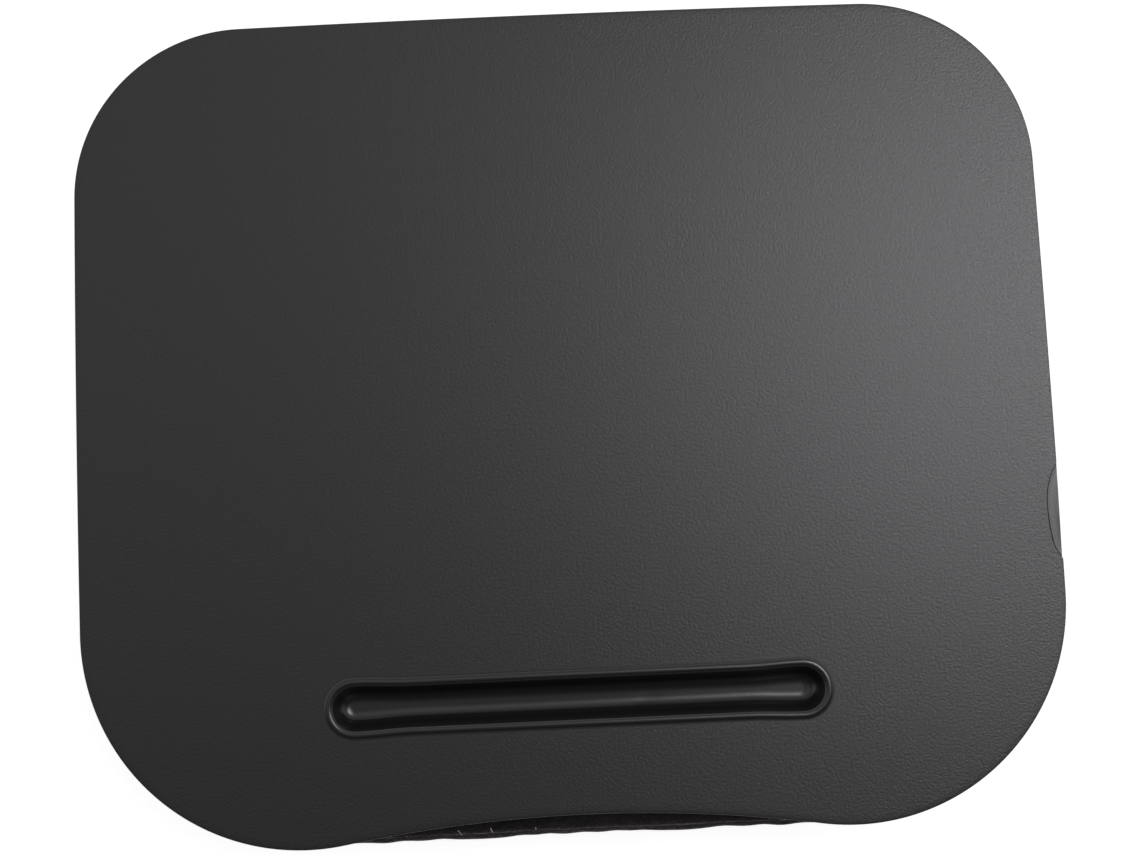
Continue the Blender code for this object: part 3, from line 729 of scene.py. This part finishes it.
def dress_styrene(finish, roughness, sparkle, pit_depth):
    """Fills a material with moulded styrene: a mean roughness, how far it varies, and a pit depth."""
    finish.use_nodes = True
    tree = finish.node_tree
    shader = tree.nodes["Principled BSDF"]
    shader.inputs["IOR"].default_value = STYRENE_IOR
    place = add_place(tree)
    pits = add_noise(tree, place, 0.5 / PIT_WIDTH, 3.0, 0.7)
    polish = add_range(tree, pits, (0.25, 0.75), (roughness - sparkle, roughness + sparkle))
    tree.links.new(polish, shader.inputs["Roughness"])
    add_bump(tree, shader, pits, pit_depth)
    dust = add_node(tree, "ShaderNodeTexVoronoi", {"Vector": place, "Scale": 1 / DUST_SPACING})
    near = add_math(tree, "LESS_THAN", dust.outputs["Distance"], DUST_RADIUS / DUST_SPACING)
    picked = add_math(tree, "GREATER_THAN", dust.outputs["Color"], 1 - DUST_SHARE)
    speck = add_math(tree, "MULTIPLY", near, picked)
    # For colours, a Mix node's inputs 6 and 7 are its two values, and 2 is its output.
    colour = add_node(
        tree,
        "ShaderNodeMix",
        {0: speck, 6: linear(STYRENE_BLACK), 7: linear(DUST_GREY)},
        data_type="RGBA",
    )
    tree.links.new(colour.outputs[2], shader.inputs["Base Color"])


dress_styrene(grained, 0.312, 0.055, 0.000110)
dress_styrene(polished, 0.25, 0.02, 0.000002)

# %% [markdown]
# The support board is tempered hardboard: wood fibre pressed hot into a hard, brown sheet with darker
# flecks. Only its material is new, since its plain cut edges are right as they are. The screws are
# zinc-plated steel, a cold bright grey that has dulled in blotches.

# %% Board and screw finishes
hardboard, tree, shader = new_finish("tempered_hardboard", "#6b4a31", 0.62)
fibre = add_noise(tree, add_place(tree), 420.0, 6.0, 0.7)
flecks = add_ramp(tree, fibre, (0.36, "#3f2a1b"), (0.62, "#7d593d"))
tree.links.new(flecks, shader.inputs["Base Color"])
add_bump(tree, shader, fibre, 0.0002)

zinc, tree, shader = new_finish("zinc_plated_steel", "#b9bcbf", 0.32, metallic=1.0)
blotch = add_noise(tree, add_place(tree), 700.0, 3.0)
dull = add_range(tree, blotch, (0.35, 0.65), (0.26, 0.44))
tree.links.new(dull, shader.inputs["Roughness"])


def refinish(name, finish):
    """Gives a CAD node a new material and leaves its mesh alone."""
    nodes[name].data.materials.clear()
    nodes[name].data.materials.append(finish)


refinish("support_board", hardboard)
for number in range(1, 9):
    refinish(f"board_screw_{number}", zinc)

# %% [markdown]
# The cushion's cover is sewn from a top, a base and a side band of short black plush, and filled with
# a bag of polystyrene beads. Beads press out evenly, like air, and the seams hold the cloth in. So the
# cover is simulated as cloth under pressure, from a form a little smaller than the filled one, with the
# two seams pinned. Some spare cloth makes it buckle between the pins, as sewn plush does, and the
# finest buckles are smoothed out of the band. The board presses the top flat, and the table the base.

# %% Cushion form
top_low, top_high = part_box("cushion_top_panel")
band_low, band_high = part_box("cushion_side_band")
UPPER_SEAM = top_low.z
LOWER_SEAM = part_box("cushion_bottom_panel")[1].z
CUSHION_TOP = top_high.z
BACK_RADIUS = 0.0660
FRONT_RADIUS = 0.0840
SEAM_DRAW_IN = 0.0034
SWELL_ROOM = 0.0016
TOP_ROLL = 0.0120
BASE_ROLL = 0.0300


def ellipse_steps(width, height, count):
    """Inset steps up a rolled edge, from an upright start to a level end."""
    angles = [math.pi / 2 * (1 - i / count) for i in range(count + 1)]
    across = [width * (1 - math.sin(a)) for a in angles]
    along = [height * math.cos(a) for a in angles]
    return [(across[i + 1] - across[i], along[i + 1] - along[i]) for i in range(count)]


half_x = band_high.x
half_y = band_high.y
plan = (
    (half_x - BACK_RADIUS, 12),
    (BACK_RADIUS - SEAM_DRAW_IN, 90, 18),
    (2 * half_y - BACK_RADIUS - FRONT_RADIUS, 16),
    (FRONT_RADIUS - SEAM_DRAW_IN, 90, 22),
    (half_x - FRONT_RADIUS, 10),
)
cover = draw_arcs("cushion_cover", (0, half_y - SEAM_DRAW_IN, UPPER_SEAM), plan)
mirror_line(0, (0, 0, UPPER_SEAM))
fill_outline(cover, True)
extrude((0, 0, LOWER_SEAM - UPPER_SEAM))
face_outward()
pick(cover, "FACE", lambda f: f.normal.z > 0.9)
inset_steps(ellipse_steps(TOP_ROLL, CUSHION_TOP - UPPER_SEAM - SWELL_ROOM, 3))
pick(cover, "FACE", lambda f: f.normal.z < -0.9)
inset_steps(ellipse_steps(BASE_ROLL, LOWER_SEAM - SWELL_ROOM, 5))
leave_edit()

# %% Cushion simulation
VOXEL = 0.0052
PIN_REACH = 0.0027
SWELL_CAP = 0.0075
BELLY_MARGIN = 0.0080
FRAMES = 22


def get_points(piece):
    """Where a piece's vertices are, as an array."""
    return np.array([v.co for v in piece.data.vertices])


def set_points(piece, points):
    """Moves a piece's vertices to the points of an array."""
    piece.data.vertices.foreach_set("co", points.ravel())
    piece.data.update()


def swell(piece, pinned):
    """Inflates a closed form as cloth, with its pinned points held, and leaves a plain mesh."""
    group = piece.vertex_groups.new(name="seams")
    group.add(pinned, 1.0, "REPLACE")
    cloth = piece.modifiers.new("Cloth", "CLOTH")
    cloth.settings.quality = 6
    cloth.settings.mass = 0.25
    cloth.settings.tension_stiffness = 18
    cloth.settings.compression_stiffness = 18
    cloth.settings.shear_stiffness = 8
    cloth.settings.bending_stiffness = 0.4
    cloth.settings.shrink_min = -0.012
    cloth.settings.use_pressure = True
    cloth.settings.uniform_pressure_force = 4
    cloth.settings.vertex_group_mass = "seams"
    cloth.settings.pin_stiffness = 1.0
    cloth.settings.effector_weights.gravity = 0
    cloth.point_cache.frame_start = 1
    cloth.point_cache.frame_end = FRAMES
    for number in range(1, FRAMES + 1):
        bpy.context.scene.frame_set(number)
    activate(piece)
    bpy.ops.object.modifier_apply(modifier="Cloth")
    bpy.context.scene.frame_set(1)


cover.data.remesh_voxel_size = VOXEL
activate(cover)
bpy.ops.object.voxel_remesh()
still = get_points(cover)
print("cushion vertices:", len(still))
pinned = [
    i
    for i, (x, y, z) in enumerate(still)
    if abs(z - UPPER_SEAM) < PIN_REACH or abs(z - LOWER_SEAM) < PIN_REACH
]
swell(cover, pinned)
enter_edit(cover)
pick(cover, "VERT", lambda v: LOWER_SEAM + BELLY_MARGIN < v.co.z < UPPER_SEAM - BELLY_MARGIN)
bpy.ops.mesh.vertices_smooth(factor=0.5, repeat=8)
leave_edit()
moved = get_points(cover)
shift = moved - still
length = np.linalg.norm(shift, axis=1, keepdims=True)
shift *= np.minimum(1.0, SWELL_CAP / np.maximum(length, 1e-9))
moved = still + shift
moved[:, 0] *= half_x / np.abs(moved[:, 0]).max()
moved[:, 1] *= np.where(moved[:, 1] > 0, half_y / moved[:, 1].max(), band_low.y / moved[:, 1].min())
moved[:, 2] = np.clip(moved[:, 2], 0.0, CUSHION_TOP)
set_points(cover, moved)
print("cushion swells, mm:", (1000 * (moved.max(0) - still.max(0))).round(1))
bag = cover.copy()
bag.data = cover.data.copy()
bag.name = "bead_bag_skin"
bag.data.name = "bead_bag_skin"
bpy.context.scene.collection.objects.link(bag)

# %% [markdown]
# The simulated skin is smoothed by one subdivision, and cut by level planes beside each seam, so that
# there are rows of points close enough to draw the seam. A seam in plush is a narrow valley: the pile
# closes over it, and the stitches gather the cloth in small, uneven puckers that fade a few
# millimetres away from it.

# %% Seams and puckers
SEAM_HALF_WIDTH = 0.0026
SEAM_ROWS = (-0.0026, -0.0013, -0.0005, 0.0005, 0.0013, 0.0026)
SEAM_DEPTH = 0.0015
PUCKER_SIZE = 0.0075
PUCKER_DEPTH = 0.00030
PUCKER_REACH = 0.0065
LUMP_SIZE = 0.045
LUMP_DEPTH = 0.0003

activate(cover)
finer = cover.modifiers.new("Finer", "SUBSURF")
finer.levels = 1
finer.render_levels = 1
bpy.ops.object.modifier_apply(modifier=finer.name)
bpy.ops.object.mode_set(mode="EDIT")
reach = 2 * SEAM_HALF_WIDTH
for seam in (UPPER_SEAM, LOWER_SEAM):
    for offset in SEAM_ROWS:
        pick(
            cover,
            "FACE",
            lambda f: abs(f.calc_center_median().z - seam) < reach and abs(f.normal.z) < 0.97,
        )
        bpy.ops.mesh.bisect(plane_co=(0, 0, seam + offset), plane_no=(0, 0, 1))
leave_edit()

points = get_points(cover)
level_normal = np.array([n.vector for n in cover.data.vertex_normals])
level_normal[:, 2] = 0
size = np.linalg.norm(level_normal, axis=1, keepdims=True)
level_normal /= np.maximum(size, 1e-6)
# This is 1 where the cloth stands upright, and 0 where it lies flat.
upright = np.clip(size[:, 0] * 1.6 - 0.3, 0, 1)
pull = np.zeros(len(points))
for seam in (UPPER_SEAM, LOWER_SEAM):
    away = np.abs(points[:, 2] - seam)
    pull -= SEAM_DEPTH * np.clip(1 - away / SEAM_HALF_WIDTH, 0, 1) ** 1.5
    gather = np.exp(-away / PUCKER_REACH)
    for i in np.nonzero((gather > 0.05) & (upright > 0))[0]:
        x, y, _ = points[i]
        wave = noise.noise(Vector((x / PUCKER_SIZE, y / PUCKER_SIZE, 40 * seam)))
        pull[i] += PUCKER_DEPTH * gather[i] * wave
for i in np.nonzero(upright > 0)[0]:
    pull[i] += LUMP_DEPTH * noise.noise(Vector(points[i]) / LUMP_SIZE)
points += level_normal * (pull * upright)[:, None]
set_points(cover, points)

# %% Zip opening and cloth thickness
CLOTH = 0.0012
zip_low, zip_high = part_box("zip_tape_lower")[0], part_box("zip_tape_upper")[1]
ZIP_Z = (zip_low.z + zip_high.z) / 2
WINDOW_HALF_X = zip_high.x + 0.0003
WINDOW_HALF_Z = 0.0060
WINDOW_SPARE = 0.006
HELD_HALF_Z = 0.0125
HELD_FADE = 0.004
HELD_SPARE = 0.012
TAPE_CLEARANCE = 0.0007


def by_zip(face, spare):
    """Whether a face is in the zip's window, or this far round it."""
    x, y, z = face.calc_center_median()
    return (
        y > half_y - WINDOW_SPARE
        and abs(x) < WINDOW_HALF_X + spare
        and abs(z - ZIP_Z) < WINDOW_HALF_Z + spare
    )


enter_edit(cover)
for axis, level in (
    (0, -WINDOW_HALF_X),
    (0, WINDOW_HALF_X),
    (2, ZIP_Z - WINDOW_HALF_Z),
    (2, ZIP_Z + WINDOW_HALF_Z),
):
    pick(cover, "FACE", lambda f: by_zip(f, WINDOW_SPARE))
    where = [0, 0, 0]
    where[axis] = level
    across = [0, 0, 0]
    across[axis] = 1
    bpy.ops.mesh.bisect(plane_co=where, plane_no=across)
pick(cover, "FACE", lambda f: by_zip(f, 0))
bpy.ops.mesh.delete(type="FACE")
leave_edit()

# The band is held out over the tapes, and this hold fades away above and below them.
points = get_points(cover)
held = np.clip(1 - (np.abs(points[:, 2] - ZIP_Z) - HELD_HALF_Z) / HELD_FADE, 0, 1)
held *= (np.abs(points[:, 0]) < WINDOW_HALF_X + HELD_SPARE) & (points[:, 1] > half_y - HELD_SPARE)
wanted = zip_high.y + CLOTH + TAPE_CLEARANCE
points[:, 1] += held * (np.maximum(points[:, 1], wanted) - points[:, 1])
set_points(cover, points)

thickness = cover.modifiers.new("Cloth thickness", "SOLIDIFY")
thickness.thickness = CLOTH
thickness.offset = -1
activate(cover)
bpy.ops.object.modifier_apply(modifier=thickness.name)
bpy.ops.object.shade_smooth_by_angle(angle=math.radians(60))
print("cover faces:", len(cover.data.polygons))

# %% [markdown]
# Plush is a knitted ground with a cut pile about 2 mm deep. The pile is dyed black but looks dark grey
# where it leans towards the light, because each fibre glints along its side: that is sheen. It also
# parts in wisps that run down the band, and lies one way or another in patches as large as a hand. The
# light and shade that these wisps, tufts and patches catch are painted into the base colour as painted
# nap shade. The wisps and tufts also make the bump.

# %% Plush finish
plush, tree, shader = new_finish("short_black_plush", "#101010", 0.95)
shader.inputs["Specular IOR Level"].default_value = 0.25
shader.inputs["Sheen Weight"].default_value = 0.8
shader.inputs["Sheen Roughness"].default_value = 0.42
shader.inputs["Sheen Tint"].default_value = linear("#bab0b2")
place = add_place(tree)
stretched = add_node(tree, "ShaderNodeMapping", {"Vector": place, "Scale": (1.0, 1.0, 0.16)})
wisps = add_noise(tree, stretched.outputs["Vector"], 620.0, 4.0, 0.6)
tufts = add_noise(tree, place, 240.0, 3.0)
patches = add_node(
    tree, "ShaderNodeTexNoise", {"Vector": place, "Scale": 14.0, "Detail": 2.0, "Distortion": 0.8}
)
# A Mix node's inputs 0, 2 and 3 are its factor and its two values.
nap = add_node(tree, "ShaderNodeMix", {0: 0.35, 2: wisps, 3: tufts}).outputs[0]
painted_nap_shade = add_node(tree, "ShaderNodeMix", {0: 0.35, 2: nap, 3: patches.outputs["Fac"]}).outputs[0]
# Painted nap shade: the base colour runs from near black to dark grey with the wisps, tufts and
# patches, for the light that the leaning pile catches.
pile = add_ramp(tree, painted_nap_shade, (0.36, "#070707"), (0.66, "#272223"))
tree.links.new(pile, shader.inputs["Base Color"])
add_bump(tree, shader, nap, 0.0011)
cover.data.materials.append(plush)
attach(cover, "desk")
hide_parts("cushion_top_panel", "cushion_side_band", "cushion_bottom_panel")

# %% [markdown]
# Plush catches lint. Three pale fibres lie on the rounded front of the cover. Each is a short path,
# whose points are laid on the cloth by casting a ray at it from above.

# %% Lint
LINT_RADIUS = 0.00020
LINT = (
    ((-0.0491, -0.1593), (-0.0478, -0.1614), 0.0003),
    ((-0.0362, -0.1588), (-0.0355, -0.1607), -0.0003),
    ((-0.0189, -0.1594), (-0.0187, -0.1602), 0.0002),
)
lint_finish, _, _ = new_finish("pale_lint", "#b9b4ad", 0.9)
fibres = []
for start, end, bow in LINT:
    leave_edit()
    bpy.ops.curve.primitive_nurbs_path_add()
    fibre = name_piece("lint")
    path = fibre.data.splines[0].points
    for i, point in enumerate(path):
        along = i / (len(path) - 1)
        x = start[0] + (end[0] - start[0]) * along + bow * math.sin(math.pi * along)
        y = start[1] + (end[1] - start[1]) * along
        where = cover.ray_cast(Vector((x, y, 1)), Vector((0, 0, -1)))[1]
        point.co = (*where, 1)
    fibre.data.bevel_depth = LINT_RADIUS
    bpy.ops.object.convert(target="MESH")
    fibres.append(fibre)
activate(*fibres)
bpy.ops.object.join()
lint = bpy.context.object
lint.data.materials.append(lint_finish)
bpy.ops.object.shade_smooth()
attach(lint, "desk")
print("lint:", [round(1000 * x, 1) for x in lint.dimensions], "mm")

# %% [markdown]
# Inside the cover is a bag of plain calico, a thin unbleached cotton, tight with beads of 3 to 5 mm. It
# takes the same simulated form, drawn in by the cover's thickness, and the beads show through the cloth
# as small bumps. Behind the zip it is pressed in, so that the slider can't catch it.

# %% Bead bag
BEAD = 0.0042
BAG_GAP = 0.0009
BAG_SEAT = 0.0010
SEAT_SPARE = 0.004
SEAT_FRONT = 0.12

enter_edit(bag)
pick_all()
bpy.ops.mesh.vertices_smooth(factor=0.5, repeat=2)
bpy.ops.transform.shrink_fatten(value=-(CLOTH + BAG_GAP))
leave_edit()
points = get_points(bag)
seat = (np.abs(points[:, 0]) < WINDOW_HALF_X + SEAT_SPARE) & (points[:, 1] > SEAT_FRONT)
seat &= np.abs(points[:, 2] - ZIP_Z) < HELD_HALF_Z
points[seat, 1] = np.minimum(points[seat, 1], zip_low.y - BAG_SEAT)
set_points(bag, points)
activate(bag)
bpy.ops.object.shade_smooth()

calico, tree, shader = new_finish("unbleached_calico", "#d8cfba", 0.9)
shader.inputs["Sheen Weight"].default_value = 0.2
place = add_place(tree)
beads = add_node(tree, "ShaderNodeTexVoronoi", {"Vector": place, "Scale": 1 / BEAD})
weave = add_noise(tree, place, 1600.0, 1.0)
tone = add_ramp(tree, weave, (0.3, "#c2b79f"), (0.7, "#e4dcc9"))
tree.links.new(tone, shader.inputs["Base Color"])
add_bump(tree, shader, beads.outputs["Distance"], 0.0009, strength=0.5, invert=True)
bag.data.materials.append(calico)
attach(bag, "desk")
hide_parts("bead_bag")
print("bag faces:", len(bag.data.polygons))

# %% [markdown]
# Hook and loop tape holds the cushion to the board. Both halves are woven nylon strips, cut with round
# corners and sewn or glued flat: the board's half carries rows of small stiff hooks, and the cushion's
# half a mat of loose loops. Each strip takes its place from its CAD node. It is a block with rounded
# corners and a rounded edge. The hooks are pressed into the loops all over, so they are drawn by their
# rows, with a bump of nearly regular cells, and the loops by an uneven one.

# %% Hook and loop strips
STRIP_CORNER = 0.0030
STRIP_EDGE = 0.0003


def round_block(name, low, high):
    """A flat block with round upright corners and rounded top and bottom edges."""
    block = add_block(name, low, high)
    bpy.ops.object.mode_set(mode="EDIT")
    pick(block, "EDGE", lambda e: abs(e.verts[0].co.z - e.verts[1].co.z) > 0.5 * (high.z - low.z))
    bpy.ops.mesh.bevel(offset=STRIP_CORNER, segments=6, affect="EDGES")
    pick(
        block,
        "EDGE",
        lambda e: any(abs(f.normal.z) > 0.9 for f in e.link_faces)
        and any(abs(f.normal.z) < 0.5 for f in e.link_faces),
    )
    bpy.ops.mesh.bevel(offset=STRIP_EDGE, segments=2, affect="EDGES")
    leave_edit()
    return block


hook_tape, hook_tree, hook_shader = new_finish("nylon_hook_tape", "#1a1a1b", 0.45)
loop_tape, loop_tree, loop_shader = new_finish("nylon_loop_tape", "#131314", 0.95)
loop_shader.inputs["Sheen Weight"].default_value = 0.5
loop_shader.inputs["Sheen Roughness"].default_value = 0.5
for tree, shader, spacing, randomness, depth in (
    (hook_tree, hook_shader, 0.0016, 0.25, 0.0006),
    (loop_tree, loop_shader, 0.0011, 1.0, 0.0008),
):
    inputs = {"Vector": add_place(tree), "Scale": 1 / spacing, "Randomness": randomness}
    cells = add_node(tree, "ShaderNodeTexVoronoi", inputs)
    add_bump(tree, shader, cells.outputs["Distance"], depth, invert=True)

for where in ("left", "right", "back", "front"):
    for kind, tape in (("hook", hook_tape), ("loop", loop_tape)):
        low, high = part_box(f"{kind}_strip_{where}")
        strip = round_block(f"{kind}_tape_{where}", low, high)
        activate(strip)
        bpy.ops.object.shade_smooth_by_angle(angle=math.radians(40))
        strip.data.materials.append(tape)
        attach(strip, "desk")
        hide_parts(f"{kind}_strip_{where}")

# %% [markdown]
# The zip is a moulded nylon one of about size 5 on woven tape, set in a slit in the back of the band.
# Each tooth is a small rounded block with a waisted head, moulded round the cord at its tape's edge.
# One tooth is modelled and an Array modifier repeats it. The tapes keep their flat CAD form, and get
# the fine ribs of a woven tape from their material. Its colour is painted darker in the low parts of
# the weave and lighter on the raised threads: painted shade.

# %% Zip teeth
TOOTH_PITCH = 0.0030
TOOTH_WIDTH = 0.00118
TOOTH_EDGE = 0.00014
NECK_SHARE = 0.30
WAIST_SHARE = 0.55
WAIST_SCALE = (0.62, 0.80, 1)
CORD_RADIUS = 0.00062
CORD_EDGE = 0.0002

zip_nylon, tree, shader = new_finish("moulded_zip_nylon", "#1d1d1e", 0.34)
scuff = add_noise(tree, add_place(tree), 1500.0, 2.0)
worn = add_range(tree, scuff, (0.0, 1.0), (0.26, 0.46))
tree.links.new(worn, shader.inputs["Roughness"])

for where, way in (("upper", 1), ("lower", -1)):
    low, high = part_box(f"zip_teeth_{where}")
    middle = (low + high) / 2
    root_z, head_z = (high.z, low.z) if way > 0 else (low.z, high.z)
    waist_z = head_z + WAIST_SHARE * (root_z - head_z)
    tooth = add_block(f"teeth_{where}", low, (low.x + TOOTH_WIDTH, high.y, high.z))
    bpy.ops.object.mode_set(mode="EDIT")
    for share in (NECK_SHARE, WAIST_SHARE):
        level = head_z + share * (root_z - head_z)
        pick_all()
        bpy.ops.mesh.bisect(plane_co=(0, 0, level), plane_no=(0, 0, 1))
    pick(tooth, "VERT", lambda v: abs(v.co.z - waist_z) < FLAT)
    bpy.ops.transform.resize(
        value=WAIST_SCALE, center_override=(low.x + TOOTH_WIDTH / 2, middle.y, waist_z)
    )
    bpy.ops.mesh.select_mode(type="EDGE")
    pick_all()
    bpy.ops.mesh.bevel(offset=TOOTH_EDGE, segments=2, affect="EDGES")
    activate(tooth)
    row = tooth.modifiers.new("Row", "ARRAY")
    row.use_relative_offset = False
    row.use_constant_offset = True
    row.constant_offset_displace = (TOOTH_PITCH, 0, 0)
    row.count = 1 + round((high.x - low.x - TOOTH_WIDTH) / TOOTH_PITCH)
    print(f"teeth {where}:", row.count)
    bpy.ops.object.modifier_apply(modifier=row.name)
    leave_edit()
    bpy.ops.mesh.primitive_cylinder_add(
        vertices=16,
        radius=CORD_RADIUS,
        depth=high.x - low.x,
        rotation=(0, math.radians(90), 0),
        location=(middle.x, middle.y, root_z - way * CORD_RADIUS),
    )
    spine = name_piece(f"spine_{where}")
    bpy.ops.object.transform_apply()
    bpy.ops.object.mode_set(mode="EDIT")
    pick(spine, "EDGE", lambda e: any(abs(f.normal.x) > 0.9 for f in e.link_faces))
    bpy.ops.mesh.bevel(offset=CORD_EDGE, segments=2, affect="EDGES")
    activate(tooth, spine)
    bpy.ops.object.join()
    tooth.data.materials.clear()
    tooth.data.materials.append(zip_nylon)
    bpy.ops.object.shade_smooth_by_angle(angle=math.radians(40))
    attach(tooth, "desk")
    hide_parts(f"zip_teeth_{where}")

# %% Zip tapes
woven, tree, shader = new_finish("woven_zip_tape", "#161617", 0.85)
shader.inputs["Sheen Weight"].default_value = 0.25
inputs = {"Vector": add_place(tree), "Detail": 1.0}
threads = []
for axis, scale, distortion in (("X", 280.0, 0.3), ("Z", 330.0, 0.6)):
    inputs |= {"Scale": scale, "Distortion": distortion}
    bands = add_node(tree, "ShaderNodeTexWave", inputs, bands_direction=axis)
    threads.append(bands.outputs["Fac"])
weave = add_math(tree, "ADD", *threads)
add_bump(tree, shader, weave, 0.00018)
# Painted shade: the tape's colour follows the weave's height, darker between the threads and lighter on
# their tops.
tone = add_ramp(tree, weave, (0.0, "#0e0e0f"), (1.0, "#242425"))
tree.links.new(tone, shader.inputs["Base Color"])
refinish("zip_tape_upper", woven)
refinish("zip_tape_lower", woven)

# %% [markdown]
# The slider and the two stops are die-cast and lacquered black. The slider's CAD mesh has the right
# form but knife-sharp edges, so a copy of it is welded and its edges are bevelled. It has a slotted lug
# and no pull: a bead cushion opens only with a tool, to keep the beads from children. The lacquer is
# worn through to the pale metal in small patches, scattered by a noise.

# %% Slider and stops
lacquer, tree, shader = new_finish("worn_black_lacquer", "#232324", 0.34, metallic=0.55)
wear = add_noise(tree, add_place(tree), 900.0, 5.0)
rubbed = add_ramp(tree, wear, (0.60, "#222223"), (0.74, "#77746f"))
tree.links.new(rubbed, shader.inputs["Base Color"])


def rounded_copy(node_name, piece_name, edge, finish, body):
    """A welded copy of a CAD node, with its flat faces merged and its sharp edges rounded."""
    leave_edit()
    piece = nodes[node_name].copy()
    piece.data = nodes[node_name].data.copy()
    piece.parent = None
    for key in list(piece.keys()):
        del piece[key]
    bpy.context.scene.collection.objects.link(piece)
    piece.name = piece_name
    piece.data.name = piece_name
    enter_edit(piece)
    pick_all()
    bpy.ops.mesh.remove_doubles(threshold=0.00001)
    bpy.ops.mesh.dissolve_limited(angle_limit=math.radians(2))
    activate(piece)
    soften = piece.modifiers.new("Rounded edges", "BEVEL")
    soften.width = edge
    soften.segments = 3
    soften.limit_method = "ANGLE"
    soften.angle_limit = math.radians(25)
    soften.use_clamp_overlap = True
    bpy.ops.object.modifier_apply(modifier=soften.name)
    bpy.ops.object.shade_smooth_by_angle(angle=math.radians(40))
    piece.data.materials.clear()
    piece.data.materials.append(finish)
    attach(piece, body)
    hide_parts(node_name)


rounded_copy("zip_slider", "slider_body", 0.00022, lacquer, "slider")
rounded_copy("zip_stop_left", "stop_left", 0.00030, lacquer, "desk")
rounded_copy("zip_stop_right", "stop_right", 0.00030, lacquer, "desk")

# %% Print the size
low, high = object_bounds()
print("visual box, mm:", [round(1000 * c, 1) for c in high - low])
